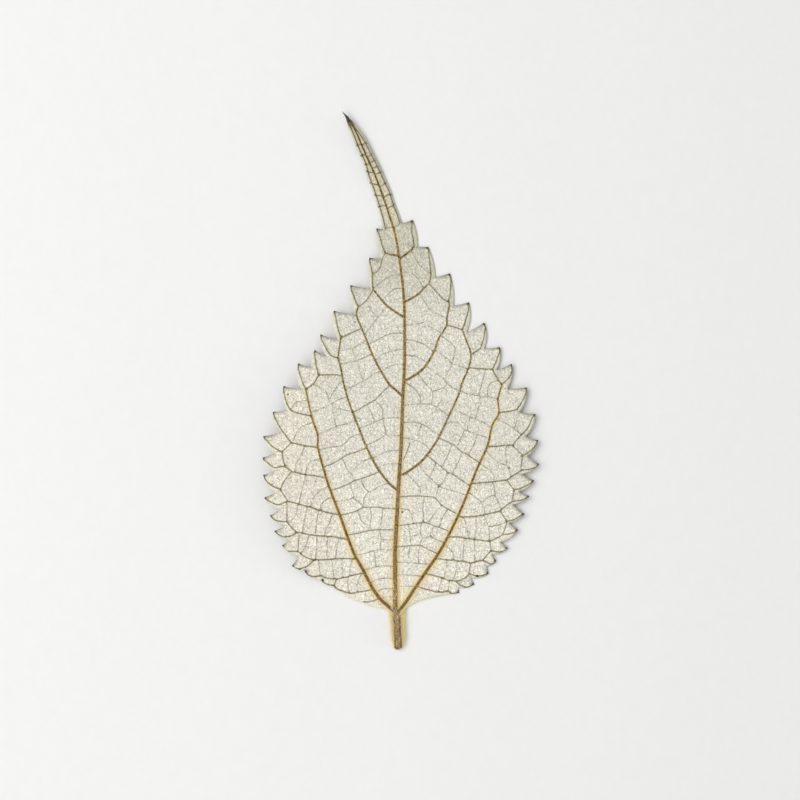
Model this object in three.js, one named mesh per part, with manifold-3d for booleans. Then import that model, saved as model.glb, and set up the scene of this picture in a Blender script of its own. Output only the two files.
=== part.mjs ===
// A pressed, dried leaf: a broad toothed blade with a long drawn-out tip and a short hairy stalk.
// It lies on its smooth face with the felted, veined underside up, and its side margins lift a little.
// Units are millimetres. +Y runs along the midrib to the tip, +Z is up off the table.
import * as THREE from 'three';
import { mergeVertices } from 'three/addons/utils/BufferGeometryUtils.js';
import Module from 'manifold-3d';

const wasm = await Module();
wasm.setup();

// Blade.
const BLADE_THICKNESS = 0.3;
const SHEET_WIDTH = 43.2;
const SHEET_LENGTH = 78.3;
const SHEET_MIDDLE_Y = 2.85;
const SHEET_PITCH = 1.8;
const TOOTH_BELLY = 0.18;
const TOOTH_HOLLOW = 0.06;

// How far the dried blade has lifted off the table at its margins.
const LEFT_LIFT = 1.6;
const RIGHT_LIFT = 0.9;
const TAIL_LIFT = 0.7;

// Veins: radius where a vein starts and where it ends. The midrib is the stalk run on into the blade.
const STALK_RADIUS = 0.52;
const STALK_TOP_Y = -35;
const MIDRIB_RADIUS = [0.4, 0.12];
const BASAL_RADIUS = [0.3, 0.12];
const SIDE_RADIUS = [0.2, 0.1];
const VEIN_HEIGHT = 0.24;
const VEIN_CROWN = 1.5;
const VEIN_DEPTH = 0.19;

// Slivers thinner than this, left where the veins meet the blade, are closed up.
const SLIVER = 0.004;

// The tail's two sides, from the tip down to the first tooth.
const TAIL_TIP = [-8.95, 40.4];
const TAIL_LEFT = [[-8.4, 39.5], [-8.0, 38.2], [-7.35, 36.5], [-6.55, 34.5], [-5.65, 32.5], [-5.1, 30.5],
  [-4.35, 28.5], [-3.7, 26.5], [-3.1, 24.5], [-2.75, 23.0]];
const TAIL_RIGHT = [[-7.75, 39.3], [-6.4, 37.6], [-5.2, 35.8], [-4.3, 34.0], [-3.25, 32.0], [-2.35, 30.0],
  [-1.55, 28.3], [-1.0, 26.6], [-0.35, 24.9], [0.0, 23.8]];

// The teeth down each side, from the tail to the base: [notch x, notch y, point x, point y].
const LEFT_TEETH = [[-2.95, 22.65, -3.75, 22.9], [-3.0, 18.3, -4.8, 18.45], [-4.65, 13.85, -7.65, 14.35],
  [-6.9, 9.95, -10.1, 10.5], [-9.45, 6.15, -12.1, 7.0], [-11.2, 3.65, -12.95, 4.65], [-13.4, 1.95, -15.4, 2.65],
  [-15.0, -1.2, -17.6, -0.75], [-17.1, -4.4, -19.2, -4.6], [-18.0, -7.6, -20.65, -8.25],
  [-18.95, -10.8, -20.75, -11.45], [-19.1, -13.6, -20.65, -14.0], [-18.75, -16.65, -20.5, -17.4],
  [-18.25, -19.15, -19.65, -20.1], [-17.35, -21.6, -19.0, -22.4], [-16.8, -23.75, -17.85, -24.55],
  [-15.3, -26.2, -16.4, -27.6]];
const RIGHT_TEETH = [[0.15, 23.65, 1.65, 24.15], [2.45, 20.15, 4.0, 20.1], [5.1, 15.6, 7.25, 16.15],
  [7.85, 11.3, 10.1, 11.8], [9.8, 7.3, 12.4, 8.75], [12.4, 4.85, 14.7, 5.1], [14.25, 1.65, 16.5, 2.6],
  [15.85, -1.15, 18.75, -0.95], [17.65, -4.65, 20.05, -4.95], [18.55, -8.3, 20.45, -8.85],
  [18.8, -11.25, 20.6, -12.4], [18.0, -13.95, 19.85, -14.9], [17.5, -16.55, 19.15, -17.2],
  [16.65, -18.5, 18.4, -19.9], [16.1, -21.25, 17.45, -22.25], [14.85, -24.15, 15.95, -25.0],
  [13.55, -26.0, 14.2, -26.95], [12.75, -27.8, 13.05, -28.85], [10.45, -29.6, 10.9, -30.5],
  [8.55, -31.05, 8.65, -31.75]];

// The untoothed lower margins, from the last tooth in to the stalk.
const LEFT_BASE = [[-14.5, -28.5], [-13.5, -29.3], [-12.3, -29.75], [-11.6, -30.3], [-10.1, -30.97],
  [-8.4, -32.15], [-7.4, -32.7], [-6.0, -33.1], [-4.9, -33.6], [-3.6, -33.95], [-2.4, -34.25], [-1.3, -35.3]];
const RIGHT_BASE = [[7.3, -31.95], [5.1, -32.35], [3.6, -32.65], [2.3, -33.15], [1.2, -33.75], [-0.2, -35.3]];

// The veins' routes, each from its root towards the margin.
const MIDRIB = [[-0.55, -40.2], [-0.6, -38.5], [-0.75, -36.5], [-0.95, -34.5], [-0.95, -31.0], [-0.95, -25.0],
  [-0.55, -18.5], [-0.1, -9.0], [0.15, -3.0], [0.4, 3.0], [0.45, 10.0], [0.0, 15.5], [-0.6, 20.0],
  [-1.4, 23.5], [-2.6, 27.5], [-3.9, 31.0], [-5.4, 34.3], [-6.9, 37.2], [-8.2, 39.4]];
const LEFT_BASAL = [[-1.6, -34.5], [-3.9, -31.8], [-6.9, -26.5], [-8.9, -20.9], [-10.9, -15.5], [-12.4, -10.0],
  [-13.5, -5.0], [-14.2, -1.5]];
const RIGHT_BASAL = [[-0.2, -34.2], [2.2, -30.9], [5.5, -26.5], [8.4, -20.4], [11.5, -12.5], [13.2, -8.0],
  [14.5, -4.8], [14.9, -0.9]];
const LEFT_SIDES = [
  [[-0.8, -16.2], [-3.6, -13.2], [-5.9, -8.8], [-8.2, -2.2], [-9.1, 1.5], [-9.2, 5.0]],
  [[0.0, -2.1], [-3.3, 1.3], [-5.1, 5.8], [-6.6, 9.8]],
  [[0.15, 9.8], [-2.1, 11.2], [-4.3, 13.7]],
  [[-0.6, 18.8], [-2.6, 19.1]]];
const RIGHT_SIDES = [
  [[-0.2, -14.1], [2.9, -12.1], [5.5, -8.5], [7.9, -3.9], [9.9, 1.5], [10.4, 4.0], [9.6, 6.5]],
  [[0.6, 0.1], [2.4, 1.0], [3.7, 2.5], [5.2, 5.3], [6.8, 8.5], [7.2, 11.5]],
  [[0.6, 11.9], [2.6, 13.1], [4.2, 14.6]],
  [[-0.1, 18.5], [1.6, 19.7]]];

// Eased step from 0 at low to 1 at high, and exactly 0 below low.
function ease(value, low, high) {
  return THREE.MathUtils.smoothstep(value, low, high);
}

// Height of the blade's smooth face above the table at a place on it. The middle lies flat.
function lift(x, y) {
  const towardsLeft = -x + 0.45 * Math.max(0, y + 5);
  const left = LEFT_LIFT * ease(towardsLeft, 8, 20) * (1 - ease(y, 16, 26));
  const right = RIGHT_LIFT * ease(x, 10, 21);
  const tail = TAIL_LIFT * ease(y, 24, 40);
  return left + right + tail;
}

// Adds one side of a tooth to the outline: a curve that bows out from, or hollows towards, the blade.
function toothSide(outline, from, to, bow) {
  const middle = new THREE.Vector2((from[0] + to[0]) / 2, (from[1] + to[1]) / 2);
  const out = new THREE.Vector2(to[1] - from[1], from[0] - to[0]);
  middle.addScaledVector(out, bow);
  outline.quadraticCurveTo(middle.x, middle.y, to[0], to[1]);
}

// The blade's outline, anticlockwise: tail tip, left side, stalk, right side.
function bladeOutline() {
  const points = (list) => list.map(([x, y]) => new THREE.Vector2(x, y));
  const outline = new THREE.Shape();
  outline.moveTo(...TAIL_TIP);
  outline.splineThru(points(TAIL_LEFT));
  outline.lineTo(LEFT_TEETH[0][0], LEFT_TEETH[0][1]);
  LEFT_TEETH.forEach(([notchX, notchY, pointX, pointY], i) => {
    const next = LEFT_TEETH[i + 1] ?? LEFT_BASE[0];
    toothSide(outline, [notchX, notchY], [pointX, pointY], -TOOTH_HOLLOW);
    toothSide(outline, [pointX, pointY], next, TOOTH_BELLY);
  });
  outline.splineThru(points(LEFT_BASE.slice(1)));
  outline.lineTo(...RIGHT_BASE.at(-1));
  outline.splineThru(points(RIGHT_BASE.slice(0, -1).reverse()));
  RIGHT_TEETH.toReversed().forEach(([notchX, notchY, pointX, pointY], i) => {
    if (i === 0) outline.lineTo(pointX, pointY);
    else toothSide(outline, [outline.currentPoint.x, outline.currentPoint.y], [pointX, pointY], TOOTH_BELLY);
    toothSide(outline, [pointX, pointY], [notchX, notchY], -TOOTH_HOLLOW);
  });
  outline.lineTo(...TAIL_RIGHT.at(-1));
  outline.splineThru(points([...TAIL_RIGHT.slice(0, -1).reverse(), TAIL_TIP]));
  return outline;
}

// A three.js geometry as a closed solid that can be joined and cut.
function solid(geometry) {
  const bare = geometry.clone();
  bare.deleteAttribute('normal');
  bare.deleteAttribute('uv');
  const merged = mergeVertices(bare, 1e-5);
  return new wasm.Manifold(new wasm.Mesh({
    numProp: 3,
    vertProperties: new Float32Array(merged.attributes.position.array),
    triVerts: new Uint32Array(merged.index.array),
  }));
}

// The other way: a solid back to a geometry.
function geometryOf(body) {
  const mesh = body.getMesh();
  const geometry = new THREE.BufferGeometry();
  geometry.setAttribute('position', new THREE.BufferAttribute(mesh.vertProperties, 3));
  geometry.setIndex(new THREE.BufferAttribute(mesh.triVerts, 1));
  geometry.computeVertexNormals();
  return geometry;
}

// The blade: a thin sheet bent to the lift, trimmed to the toothed outline.
function blade() {
  const columns = Math.round(SHEET_WIDTH / SHEET_PITCH);
  const rows = Math.round(SHEET_LENGTH / SHEET_PITCH);
  const sheet = new THREE.BoxGeometry(SHEET_WIDTH, SHEET_LENGTH, BLADE_THICKNESS, columns, rows, 1);
  sheet.translate(0, SHEET_MIDDLE_Y, BLADE_THICKNESS / 2);
  const place = sheet.attributes.position;
  for (let i = 0; i < place.count; i += 1) {
    place.setZ(i, place.getZ(i) + lift(place.getX(i), place.getY(i)));
  }
  const cutter = new THREE.ExtrudeGeometry(bladeOutline(), { depth: 8, curveSegments: 3, bevelEnabled: false });
  cutter.translate(0, 0, -2);
  return solid(sheet).intersect(solid(cutter));
}

// A vein: a tapered rod bent along its route, its widest part just under the blade's upper face.
function vein(route, [startRadius, endRadius], sides, steps) {
  const rod = new THREE.CylinderGeometry(1, 1, 1, sides, steps);
  const curve = new THREE.CatmullRomCurve3(route.map(([x, y]) => new THREE.Vector3(x, y, 0)));
  const place = rod.attributes.position;
  for (let i = 0; i < place.count; i += 1) {
    const along = place.getY(i) + 0.5;
    const middle = curve.getPoint(along);
    const stalk = (STALK_RADIUS - startRadius) * (1 - ease(middle.y, STALK_TOP_Y - 2, STALK_TOP_Y));
    const radius = THREE.MathUtils.lerp(startRadius, endRadius, along) + stalk;
    const heading = curve.getTangent(along);
    const aside = place.getX(i) * radius;
    const x = middle.x + heading.y * aside;
    const y = middle.y - heading.x * aside;
    const up = place.getZ(i);
    const rise = up > 0 ? up * radius * VEIN_CROWN : up * Math.min(radius, VEIN_DEPTH);
    place.setXYZ(i, x, y, lift(x, y) + VEIN_HEIGHT + rise);
  }
  return solid(rod);
}

function veins() {
  const rods = [
    vein(MIDRIB, MIDRIB_RADIUS, 10, 48),
    vein(LEFT_BASAL, BASAL_RADIUS, 8, 18),
    vein(RIGHT_BASAL, BASAL_RADIUS, 8, 18),
  ];
  [...LEFT_SIDES, ...RIGHT_SIDES].forEach((route) => {
    rods.push(vein(route, SIDE_RADIUS, 6, 3 * route.length));
  });
  return rods;
}

const grown = veins().reduce((joined, rod) => joined.add(rod), blade());
const leafGeometry = geometryOf(grown.simplify(SLIVER));

// The origin is the middle of the leaf's length and width, on the table.
leafGeometry.computeBoundingBox();
const middle = leafGeometry.boundingBox.getCenter(new THREE.Vector3());
leafGeometry.translate(-middle.x, -middle.y, 0);

const leaf = new THREE.Mesh(
  leafGeometry,
  new THREE.MeshStandardMaterial({ color: 0xd9d6c6, roughness: 0.92, metalness: 0 }),
);
leaf.name = 'leaf';

const group = new THREE.Group();
group.add(leaf);

export default group;
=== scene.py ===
"""A pressed, dried leaf lying on a pale sheet, its felted and veined underside up.

Drawing sizes are in millimetres, in the leaf's own frame: x across, y from the stalk to the tail tip.
"""
import math
import random

import bmesh
import bpy
from mathutils import Matrix, Vector, kdtree, noise
from mathutils.geometry import delaunay_2d_cdt


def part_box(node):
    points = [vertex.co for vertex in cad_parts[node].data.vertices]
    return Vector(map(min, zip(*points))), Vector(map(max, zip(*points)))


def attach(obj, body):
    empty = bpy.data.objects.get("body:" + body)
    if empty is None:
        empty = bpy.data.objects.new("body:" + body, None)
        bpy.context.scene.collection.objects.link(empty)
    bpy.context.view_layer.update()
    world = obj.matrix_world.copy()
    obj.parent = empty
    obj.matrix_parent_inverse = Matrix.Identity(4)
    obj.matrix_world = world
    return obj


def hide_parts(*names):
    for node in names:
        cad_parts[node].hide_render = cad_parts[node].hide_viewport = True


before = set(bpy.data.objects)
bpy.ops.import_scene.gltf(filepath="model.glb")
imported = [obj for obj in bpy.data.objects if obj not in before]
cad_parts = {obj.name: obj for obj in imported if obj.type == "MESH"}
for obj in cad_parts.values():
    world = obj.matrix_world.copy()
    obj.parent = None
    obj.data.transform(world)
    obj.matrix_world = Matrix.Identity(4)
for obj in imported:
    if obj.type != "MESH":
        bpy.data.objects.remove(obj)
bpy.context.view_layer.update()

MM = 0.001

# ---------------------------------------------------------------- the leaf's drawing

TAIL_TIP = (-8.95, 40.4)
TAIL_LEFT = [
    (-8.4, 39.5), (-8, 38.2), (-7.35, 36.5), (-6.55, 34.5), (-5.65, 32.5), (-5.1, 30.5), (-4.35, 28.5),
    (-3.7, 26.5), (-3.1, 24.5), (-2.75, 23)]
TAIL_RIGHT = [
    (-7.75, 39.3), (-6.4, 37.6), (-5.2, 35.8), (-4.3, 34), (-3.25, 32), (-2.35, 30), (-1.55, 28.3),
    (-1, 26.6), (-0.35, 24.9), (0, 23.8)]

# Teeth from the tail to the base: notch x, notch y, point x, point y.
LEFT_TEETH = [
    (-2.95, 22.65, -3.75, 22.9), (-3, 18.3, -4.8, 18.45), (-4.65, 13.85, -7.65, 14.35),
    (-6.9, 9.95, -10.1, 10.5), (-9.45, 6.15, -12.1, 7), (-11.2, 3.65, -12.95, 4.65),
    (-13.4, 1.95, -15.4, 2.65), (-15, -1.2, -17.6, -0.75), (-17.1, -4.4, -19.2, -4.6),
    (-18, -7.6, -20.65, -8.25), (-18.95, -10.8, -20.75, -11.45), (-19.1, -13.6, -20.65, -14),
    (-18.75, -16.65, -20.5, -17.4), (-18.25, -19.15, -19.65, -20.1), (-17.35, -21.6, -19, -22.4),
    (-16.8, -23.75, -17.85, -24.55), (-15.3, -26.2, -16.4, -27.6), (-14.5, -28.3, -14.4, -28.6)]
RIGHT_TEETH = [
    (0.15, 23.65, 1.65, 24.15), (2.45, 20.15, 4, 20.1), (5.1, 15.6, 7.25, 16.15),
    (7.85, 11.3, 10.1, 11.8), (9.8, 7.3, 12.4, 8.75), (12.4, 4.85, 14.7, 5.1), (14.25, 1.65, 16.5, 2.6),
    (15.85, -1.15, 18.75, -0.95), (17.65, -4.65, 20.05, -4.95), (18.55, -8.3, 20.45, -8.85),
    (18.8, -11.25, 20.6, -12.4), (18, -13.95, 19.85, -14.9), (17.5, -16.55, 19.15, -17.2),
    (16.65, -18.5, 18.4, -19.9), (16.1, -21.25, 17.45, -22.25), (14.85, -24.15, 15.95, -25),
    (13.55, -26, 14.2, -26.95), (12.75, -27.8, 13.05, -28.85), (10.45, -29.6, 10.9, -30.5),
    (8.55, -31.05, 8.65, -31.75)]
LEFT_BASE = [
    (-13.5, -29.3), (-12.3, -29.75), (-11.6, -30.3), (-10.1, -30.97), (-8.4, -32.15), (-7.4, -32.7),
    (-6, -33.1), (-4.9, -33.6), (-3.6, -33.95), (-2.4, -34.25), (-1.45, -35)]
RIGHT_BASE = [(7.3, -31.95), (5.1, -32.35), (3.6, -32.65), (2.3, -33.15), (1.2, -33.75), (0.2, -34.5)]
STALK_LEFT = [
    (-1.27, -35.7), (-1.2, -36.5), (-1.12, -37.3), (-1.08, -38.3), (-1.13, -39.3), (-1.08, -39.85)]
STALK_END = [(-0.93, -40.12), (-0.62, -40.21), (-0.25, -40.08), (0.12, -39.8)]
STALK_RIGHT = [(-0.1, -35.5), (-0.12, -36.3), (-0.1, -37.3), (-0.02, -38.3), (0.06, -39.2)]

# Vein routes, each from its root outwards.
MIDRIB = [
    (-0.6, -40.1), (-0.6, -38.4), (-0.7, -36.6), (-0.9, -34.8), (-0.95, -33), (-0.95, -29),
    (-0.96, -25.5), (-0.7, -20.5), (-0.4, -15), (-0.05, -9.5), (0.17, -3), (0.42, 2), (0.46, 8),
    (0.3, 13), (-0.3, 18), (-0.97, 22), (-1.9, 25), (-2.9, 28), (-4.05, 31), (-5.4, 34), (-6.7, 37),
    (-7.8, 39), (-8.9, 40.3)]
BASALS = [
    [(-1.2, -34.6), (-2.05, -33.7), (-3.25, -32.6), (-4.35, -31.05), (-5.8, -28.25), (-7.1, -25.9),
     (-8.05, -23.45), (-9.2, -20.2), (-10.65, -16.4), (-11.3, -14.45), (-12.5, -9.95), (-12.55, -8.1),
     (-13.45, -5.3), (-14.3, -1.25)],
    [(-0.5, -34.6), (0.45, -33.4), (2.1, -30.9), (3.75, -28.45), (5.5, -25.9), (7, -23.25), (8.6, -19.9),
     (10, -16.55), (11.25, -13.3), (12.9, -9.6), (13.6, -6.6), (14.55, -4.8), (14.45, -2.65), (15, -0.6)]]
SIDE_VEINS = [
    [(-0.7, -16.3), (-1.85, -15.35), (-3.6, -13.05), (-5.2, -10.05), (-6.35, -7.15), (-7.5, -4.25),
     (-8.6, -0.7), (-9.1, 2), (-9.45, 3.5), (-9.3, 5), (-9.05, 6.5)],
    [(-0.35, -14.1), (0.45, -13.9), (2.75, -12.25), (3.8, -11.1), (5.4, -8.75), (7.2, -5), (8.4, -2.4),
     (9.2, 0), (10.05, 2), (10.4, 4), (9.7, 6.1), (9.1, 7.65)],
    [(0.15, -2.3), (-0.9, -1.3), (-1.75, -0.6), (-3.25, 1.75), (-4.4, 4.05), (-5.55, 6.9), (-6.15, 8.3),
     (-6.75, 9.9), (-6.45, 11.2)],
    [(0.35, 0), (0.95, 0.25), (2.75, 1.4), (3.7, 2.4), (5, 4.7), (5.45, 6.1), (6.75, 8.35), (6.8, 9.4),
     (7.2, 11.4)], [(0.45, 9.55), (-0.05, 9.8), (-2.15, 11.25), (-2.9, 12.05), (-4.25, 13.7)],
    [(0.35, 11.8), (1, 12.1), (2.45, 13), (3.5, 14.05), (4.1, 14.6)],
    [(-0.35, 18.75), (-1.85, 18.95), (-2.45, 19.2)],
    [(-0.3, 18.3), (0.4, 18.8), (1.4, 19.6), (1.85, 20.25)]]
# Branches that run out from the main veins to the teeth, and the loops between them.
BRANCHES = [
    [(-11.35, -14.5), (-12, -14.36), (-13.23, -14.15), (-14.38, -14), (-15.54, -13.72), (-16.4, -13.55),
     (-16.85, -13.2), (-17.3, -12.75), (-17.55, -12.15), (-17.72, -11.35), (-17.8, -10.7)],
    [(15, -0.55), (14.4, 0.35), (13.9, 1.15), (13.55, 1.7), (12.4, 1.8), (11.4, 1.85), (10.1, 2)],
    [(6.75, 8.35), (7.75, 8.12), (9.1, 7.67)], [(-12.4, 0.9), (-11.15, 0.92), (-9.75, 0.92), (-9, 0.8)],
    [(-9.05, 6.55), (-8.4, 6.75), (-7.6, 7.15), (-6.7, 7.55), (-6, 7.85)],
    [(-14.3, -1.2), (-13.9, -1), (-13, -0.25), (-12.55, 0.55), (-12.4, 0.9)],
    [(10.3, -27.25), (9.45, -27.08), (8.3, -26.92), (6.8, -26.77), (5.1, -26.6)],
    [(8.15, -30), (7.4, -29.92), (6.75, -29.75), (5.9, -29.44), (4.55, -29.08), (3.6, -28.9)],
    [(-12.1, -29.15), (-11.4, -29.45), (-10.6, -29.6), (-9.75, -29.65), (-8.8, -29.5), (-7.6, -29.2),
     (-6.8, -28.98), (-5.7, -28.8)],
    [(-9.75, -31.1), (-9, -31.4), (-8.2, -31.73), (-7.6, -31.8), (-6.8, -31.7), (-5.8, -31.54),
     (-4.5, -31.3)],
    [(6.9, -31.5), (6, -31.65), (5.2, -31.6), (4.15, -31.33), (3.1, -31.03), (2.2, -30.75)],
    [(-5.6, -33.1), (-5.05, -33.1), (-4.15, -32.92), (-3.6, -32.7)]]
# A branch that goes on into a tooth starts at the tooth's point and runs just inside its outer edge.
TOOTH_VEINS = [
    [(1.55, 24), (1.54, 23.3), (1.54, 22.4), (1.7, 21.5), (1.87, 20.6), (1.87, 20.2), (1.45, 19.6)],
    [(3.95, 20), (4.05, 19.6), (4.12, 18.7), (4.3, 17.3), (4.4, 16), (4.32, 15.3), (4.1, 14.6)],
    [(7.15, 16), (7.38, 15.25), (7.38, 13.95), (7.28, 12.9), (7.08, 12), (7.2, 11.4)],
    [(10, 11.7), (9.95, 11.3), (10.05, 10.75), (9.75, 9.6), (9.4, 8.4), (9.1, 7.7)],
    [(12.35, 8.6), (12.55, 8.1), (12.48, 7.5), (12.37, 6.6), (12.1, 5.65), (11.85, 4.95), (11.4, 4.55),
     (10.45, 3.98)], [(14.6, 5), (14.72, 4.4), (14.44, 3.75), (14.04, 2.55), (13.57, 1.72)],
    [(16.45, 2.5), (16.57, 1.8), (16.35, 1.05), (16, 0.4), (15.1, -0.5)],
    [(18.65, -1), (18.62, -1.7), (18.3, -2.55), (17.85, -3.35), (17.35, -4.15), (16.8, -4.4),
     (15.75, -4.6), (14.55, -4.75)],
    [(19.95, -5), (19.5, -5.6), (19.2, -6.4), (18.75, -7.2), (18.1, -7.9), (17.3, -8.75), (16.55, -9.6),
     (15.55, -9.6), (14.15, -9.8), (12.85, -9.8)],
    [(20.4, -8.9), (20.1, -9.45), (19.6, -10.15), (18.85, -10.75), (18.1, -11.2)],
    [(20.5, -12.4), (20.15, -12.85), (19, -13.25), (18, -13.37), (17.3, -13.77), (16.45, -14.35),
     (15.75, -14.8), (14.4, -14.98), (12.8, -15.2), (10.7, -15.35)],
    [(19.75, -14.95), (19.4, -15.2), (18.75, -15.6), (17.75, -16.08), (16.8, -16.28)],
    [(19.05, -17.2), (18.75, -17.4), (17.85, -17.85), (16.95, -17.95), (16.5, -18.1), (15.75, -18.6),
     (14.75, -19.42), (13.25, -19.83), (10.9, -20.3), (9.55, -20.37), (8.5, -20.35)],
    [(18.3, -19.9), (17.95, -20.05), (17.3, -20.5), (16.5, -20.85), (15.7, -20.95)],
    [(17.4, -22.25), (16.75, -22.7), (16, -22.9), (15.2, -23), (14.5, -23.4), (13.2, -23.98),
     (12.1, -23.88), (10.9, -23.75), (9.75, -23.58), (8.4, -23.35), (7, -23.4)],
    [(15.85, -25.05), (15.5, -25.45), (14.85, -25.55), (14.1, -25.55), (13.4, -25.5), (12.75, -26.15),
     (12.15, -26.85), (11.7, -26.93), (10.9, -27.2), (10.3, -27.25)],
    [(14.1, -27), (13.75, -27.4), (13.2, -27.38), (12.7, -27.1), (12.15, -26.9)],
    [(12.95, -28.85), (12.2, -29.1), (11.4, -29.25), (10.75, -29.08), (10.15, -28.96), (9.6, -29.46),
     (8.85, -29.85), (8.15, -30)],
    [(10.85, -30.5), (10.5, -30.75), (9.85, -30.88), (9.1, -30.72), (8.6, -30.46), (8.2, -30.05)],
    [(8.55, -31.7), (8.1, -31.85), (7.55, -31.85), (6.95, -31.5)],
    [(-3.7, 22.8), (-3.38, 22), (-3.13, 21.3), (-2.92, 20.4), (-2.67, 19.7), (-2.46, 19.2)],
    [(-4.75, 18.35), (-4.7, 17.8), (-4.5, 16.8), (-4.36, 15.8), (-4.36, 14.8), (-4.26, 13.7)],
    [(-7.6, 14.25), (-7.4, 13.45), (-7.08, 12.5), (-6.77, 11.8), (-6.48, 11.15)],
    [(-10.05, 10.4), (-9.85, 9.65), (-9.66, 8.6), (-9.42, 7.5), (-9.07, 6.6)],
    [(-12.05, 6.9), (-11.96, 6.35), (-11.67, 5.65), (-11.15, 4.73), (-10.7, 3.95), (-10.1, 3.6),
     (-9.48, 3.45)], [(-12.93, 4.55), (-12.94, 3.8), (-12.83, 2.8), (-12.65, 1.85), (-12.4, 0.9)],
    [(-15.38, 2.55), (-15.37, 1.85), (-15.08, 0.7), (-14.73, -0.35), (-14.32, -1.2)],
    [(-17.58, -0.85), (-17.5, -1.85), (-17.27, -2.9), (-16.9, -3.8), (-16.46, -4.44), (-15.54, -4.8),
     (-14.5, -5.02), (-13.45, -5.28)],
    [(-19.15, -4.7), (-18.88, -5.5), (-18.4, -6.45), (-17.85, -7.4), (-17.15, -8.3), (-16.4, -9.2),
     (-15.54, -9.42), (-14.4, -9.7), (-13.2, -9.86), (-12.5, -9.9)],
    [(-20.6, -8.3), (-20.15, -8.8), (-19.46, -9.6), (-18.65, -10.2), (-17.8, -10.62)],
    [(-20.7, -11.47), (-20.05, -12.15), (-19.35, -12.73), (-18.77, -12.96), (-18.08, -12.8),
     (-17.3, -12.72)],
    [(-20.6, -14.03), (-20.27, -14.75), (-19.7, -15.33), (-19.1, -15.75), (-18.05, -16.2)],
    [(-20.45, -17.42), (-19.9, -17.8), (-19.25, -18.2), (-18.3, -18.5), (-17.6, -18.2), (-17, -17.97),
     (-16, -18.2), (-14.85, -18.56), (-13.7, -18.85), (-12.4, -19.3), (-11.27, -19.65), (-9.4, -20.05)],
    [(-19.6, -20.1), (-18.9, -20.72), (-17.96, -20.98), (-17.15, -21.04), (-16.46, -21.85),
     (-15.75, -22.55), (-14.85, -22.77), (-13.7, -23), (-12.2, -23.17), (-10.46, -23.3), (-9.3, -23.5),
     (-8, -23.8)], [(-18.97, -22.4), (-18.3, -22.97), (-17.4, -23.25), (-16.6, -23.17), (-15.75, -22.75)],
    [(-17.83, -24.57), (-17.3, -25.35), (-16.55, -25.43), (-15.5, -25.47), (-14.92, -25.96),
     (-14.23, -26.38), (-13.6, -26.65), (-12.85, -26.74), (-11.3, -26.74), (-9.77, -26.65), (-8.6, -26.6),
     (-6.8, -26.65)],
    [(-16.35, -27.62), (-15.9, -27.95), (-15.3, -28.08), (-14.7, -27.93), (-14.08, -27.7),
     (-13.15, -26.85)],
    [(-14.35, -28.5), (-14.15, -28.85), (-13.6, -29.18), (-13, -29.25), (-12.1, -29.15)],
    [(-11.85, -29.8), (-11.5, -30.35), (-10.9, -30.5), (-10.1, -30.65), (-9.75, -31.1)]]
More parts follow.
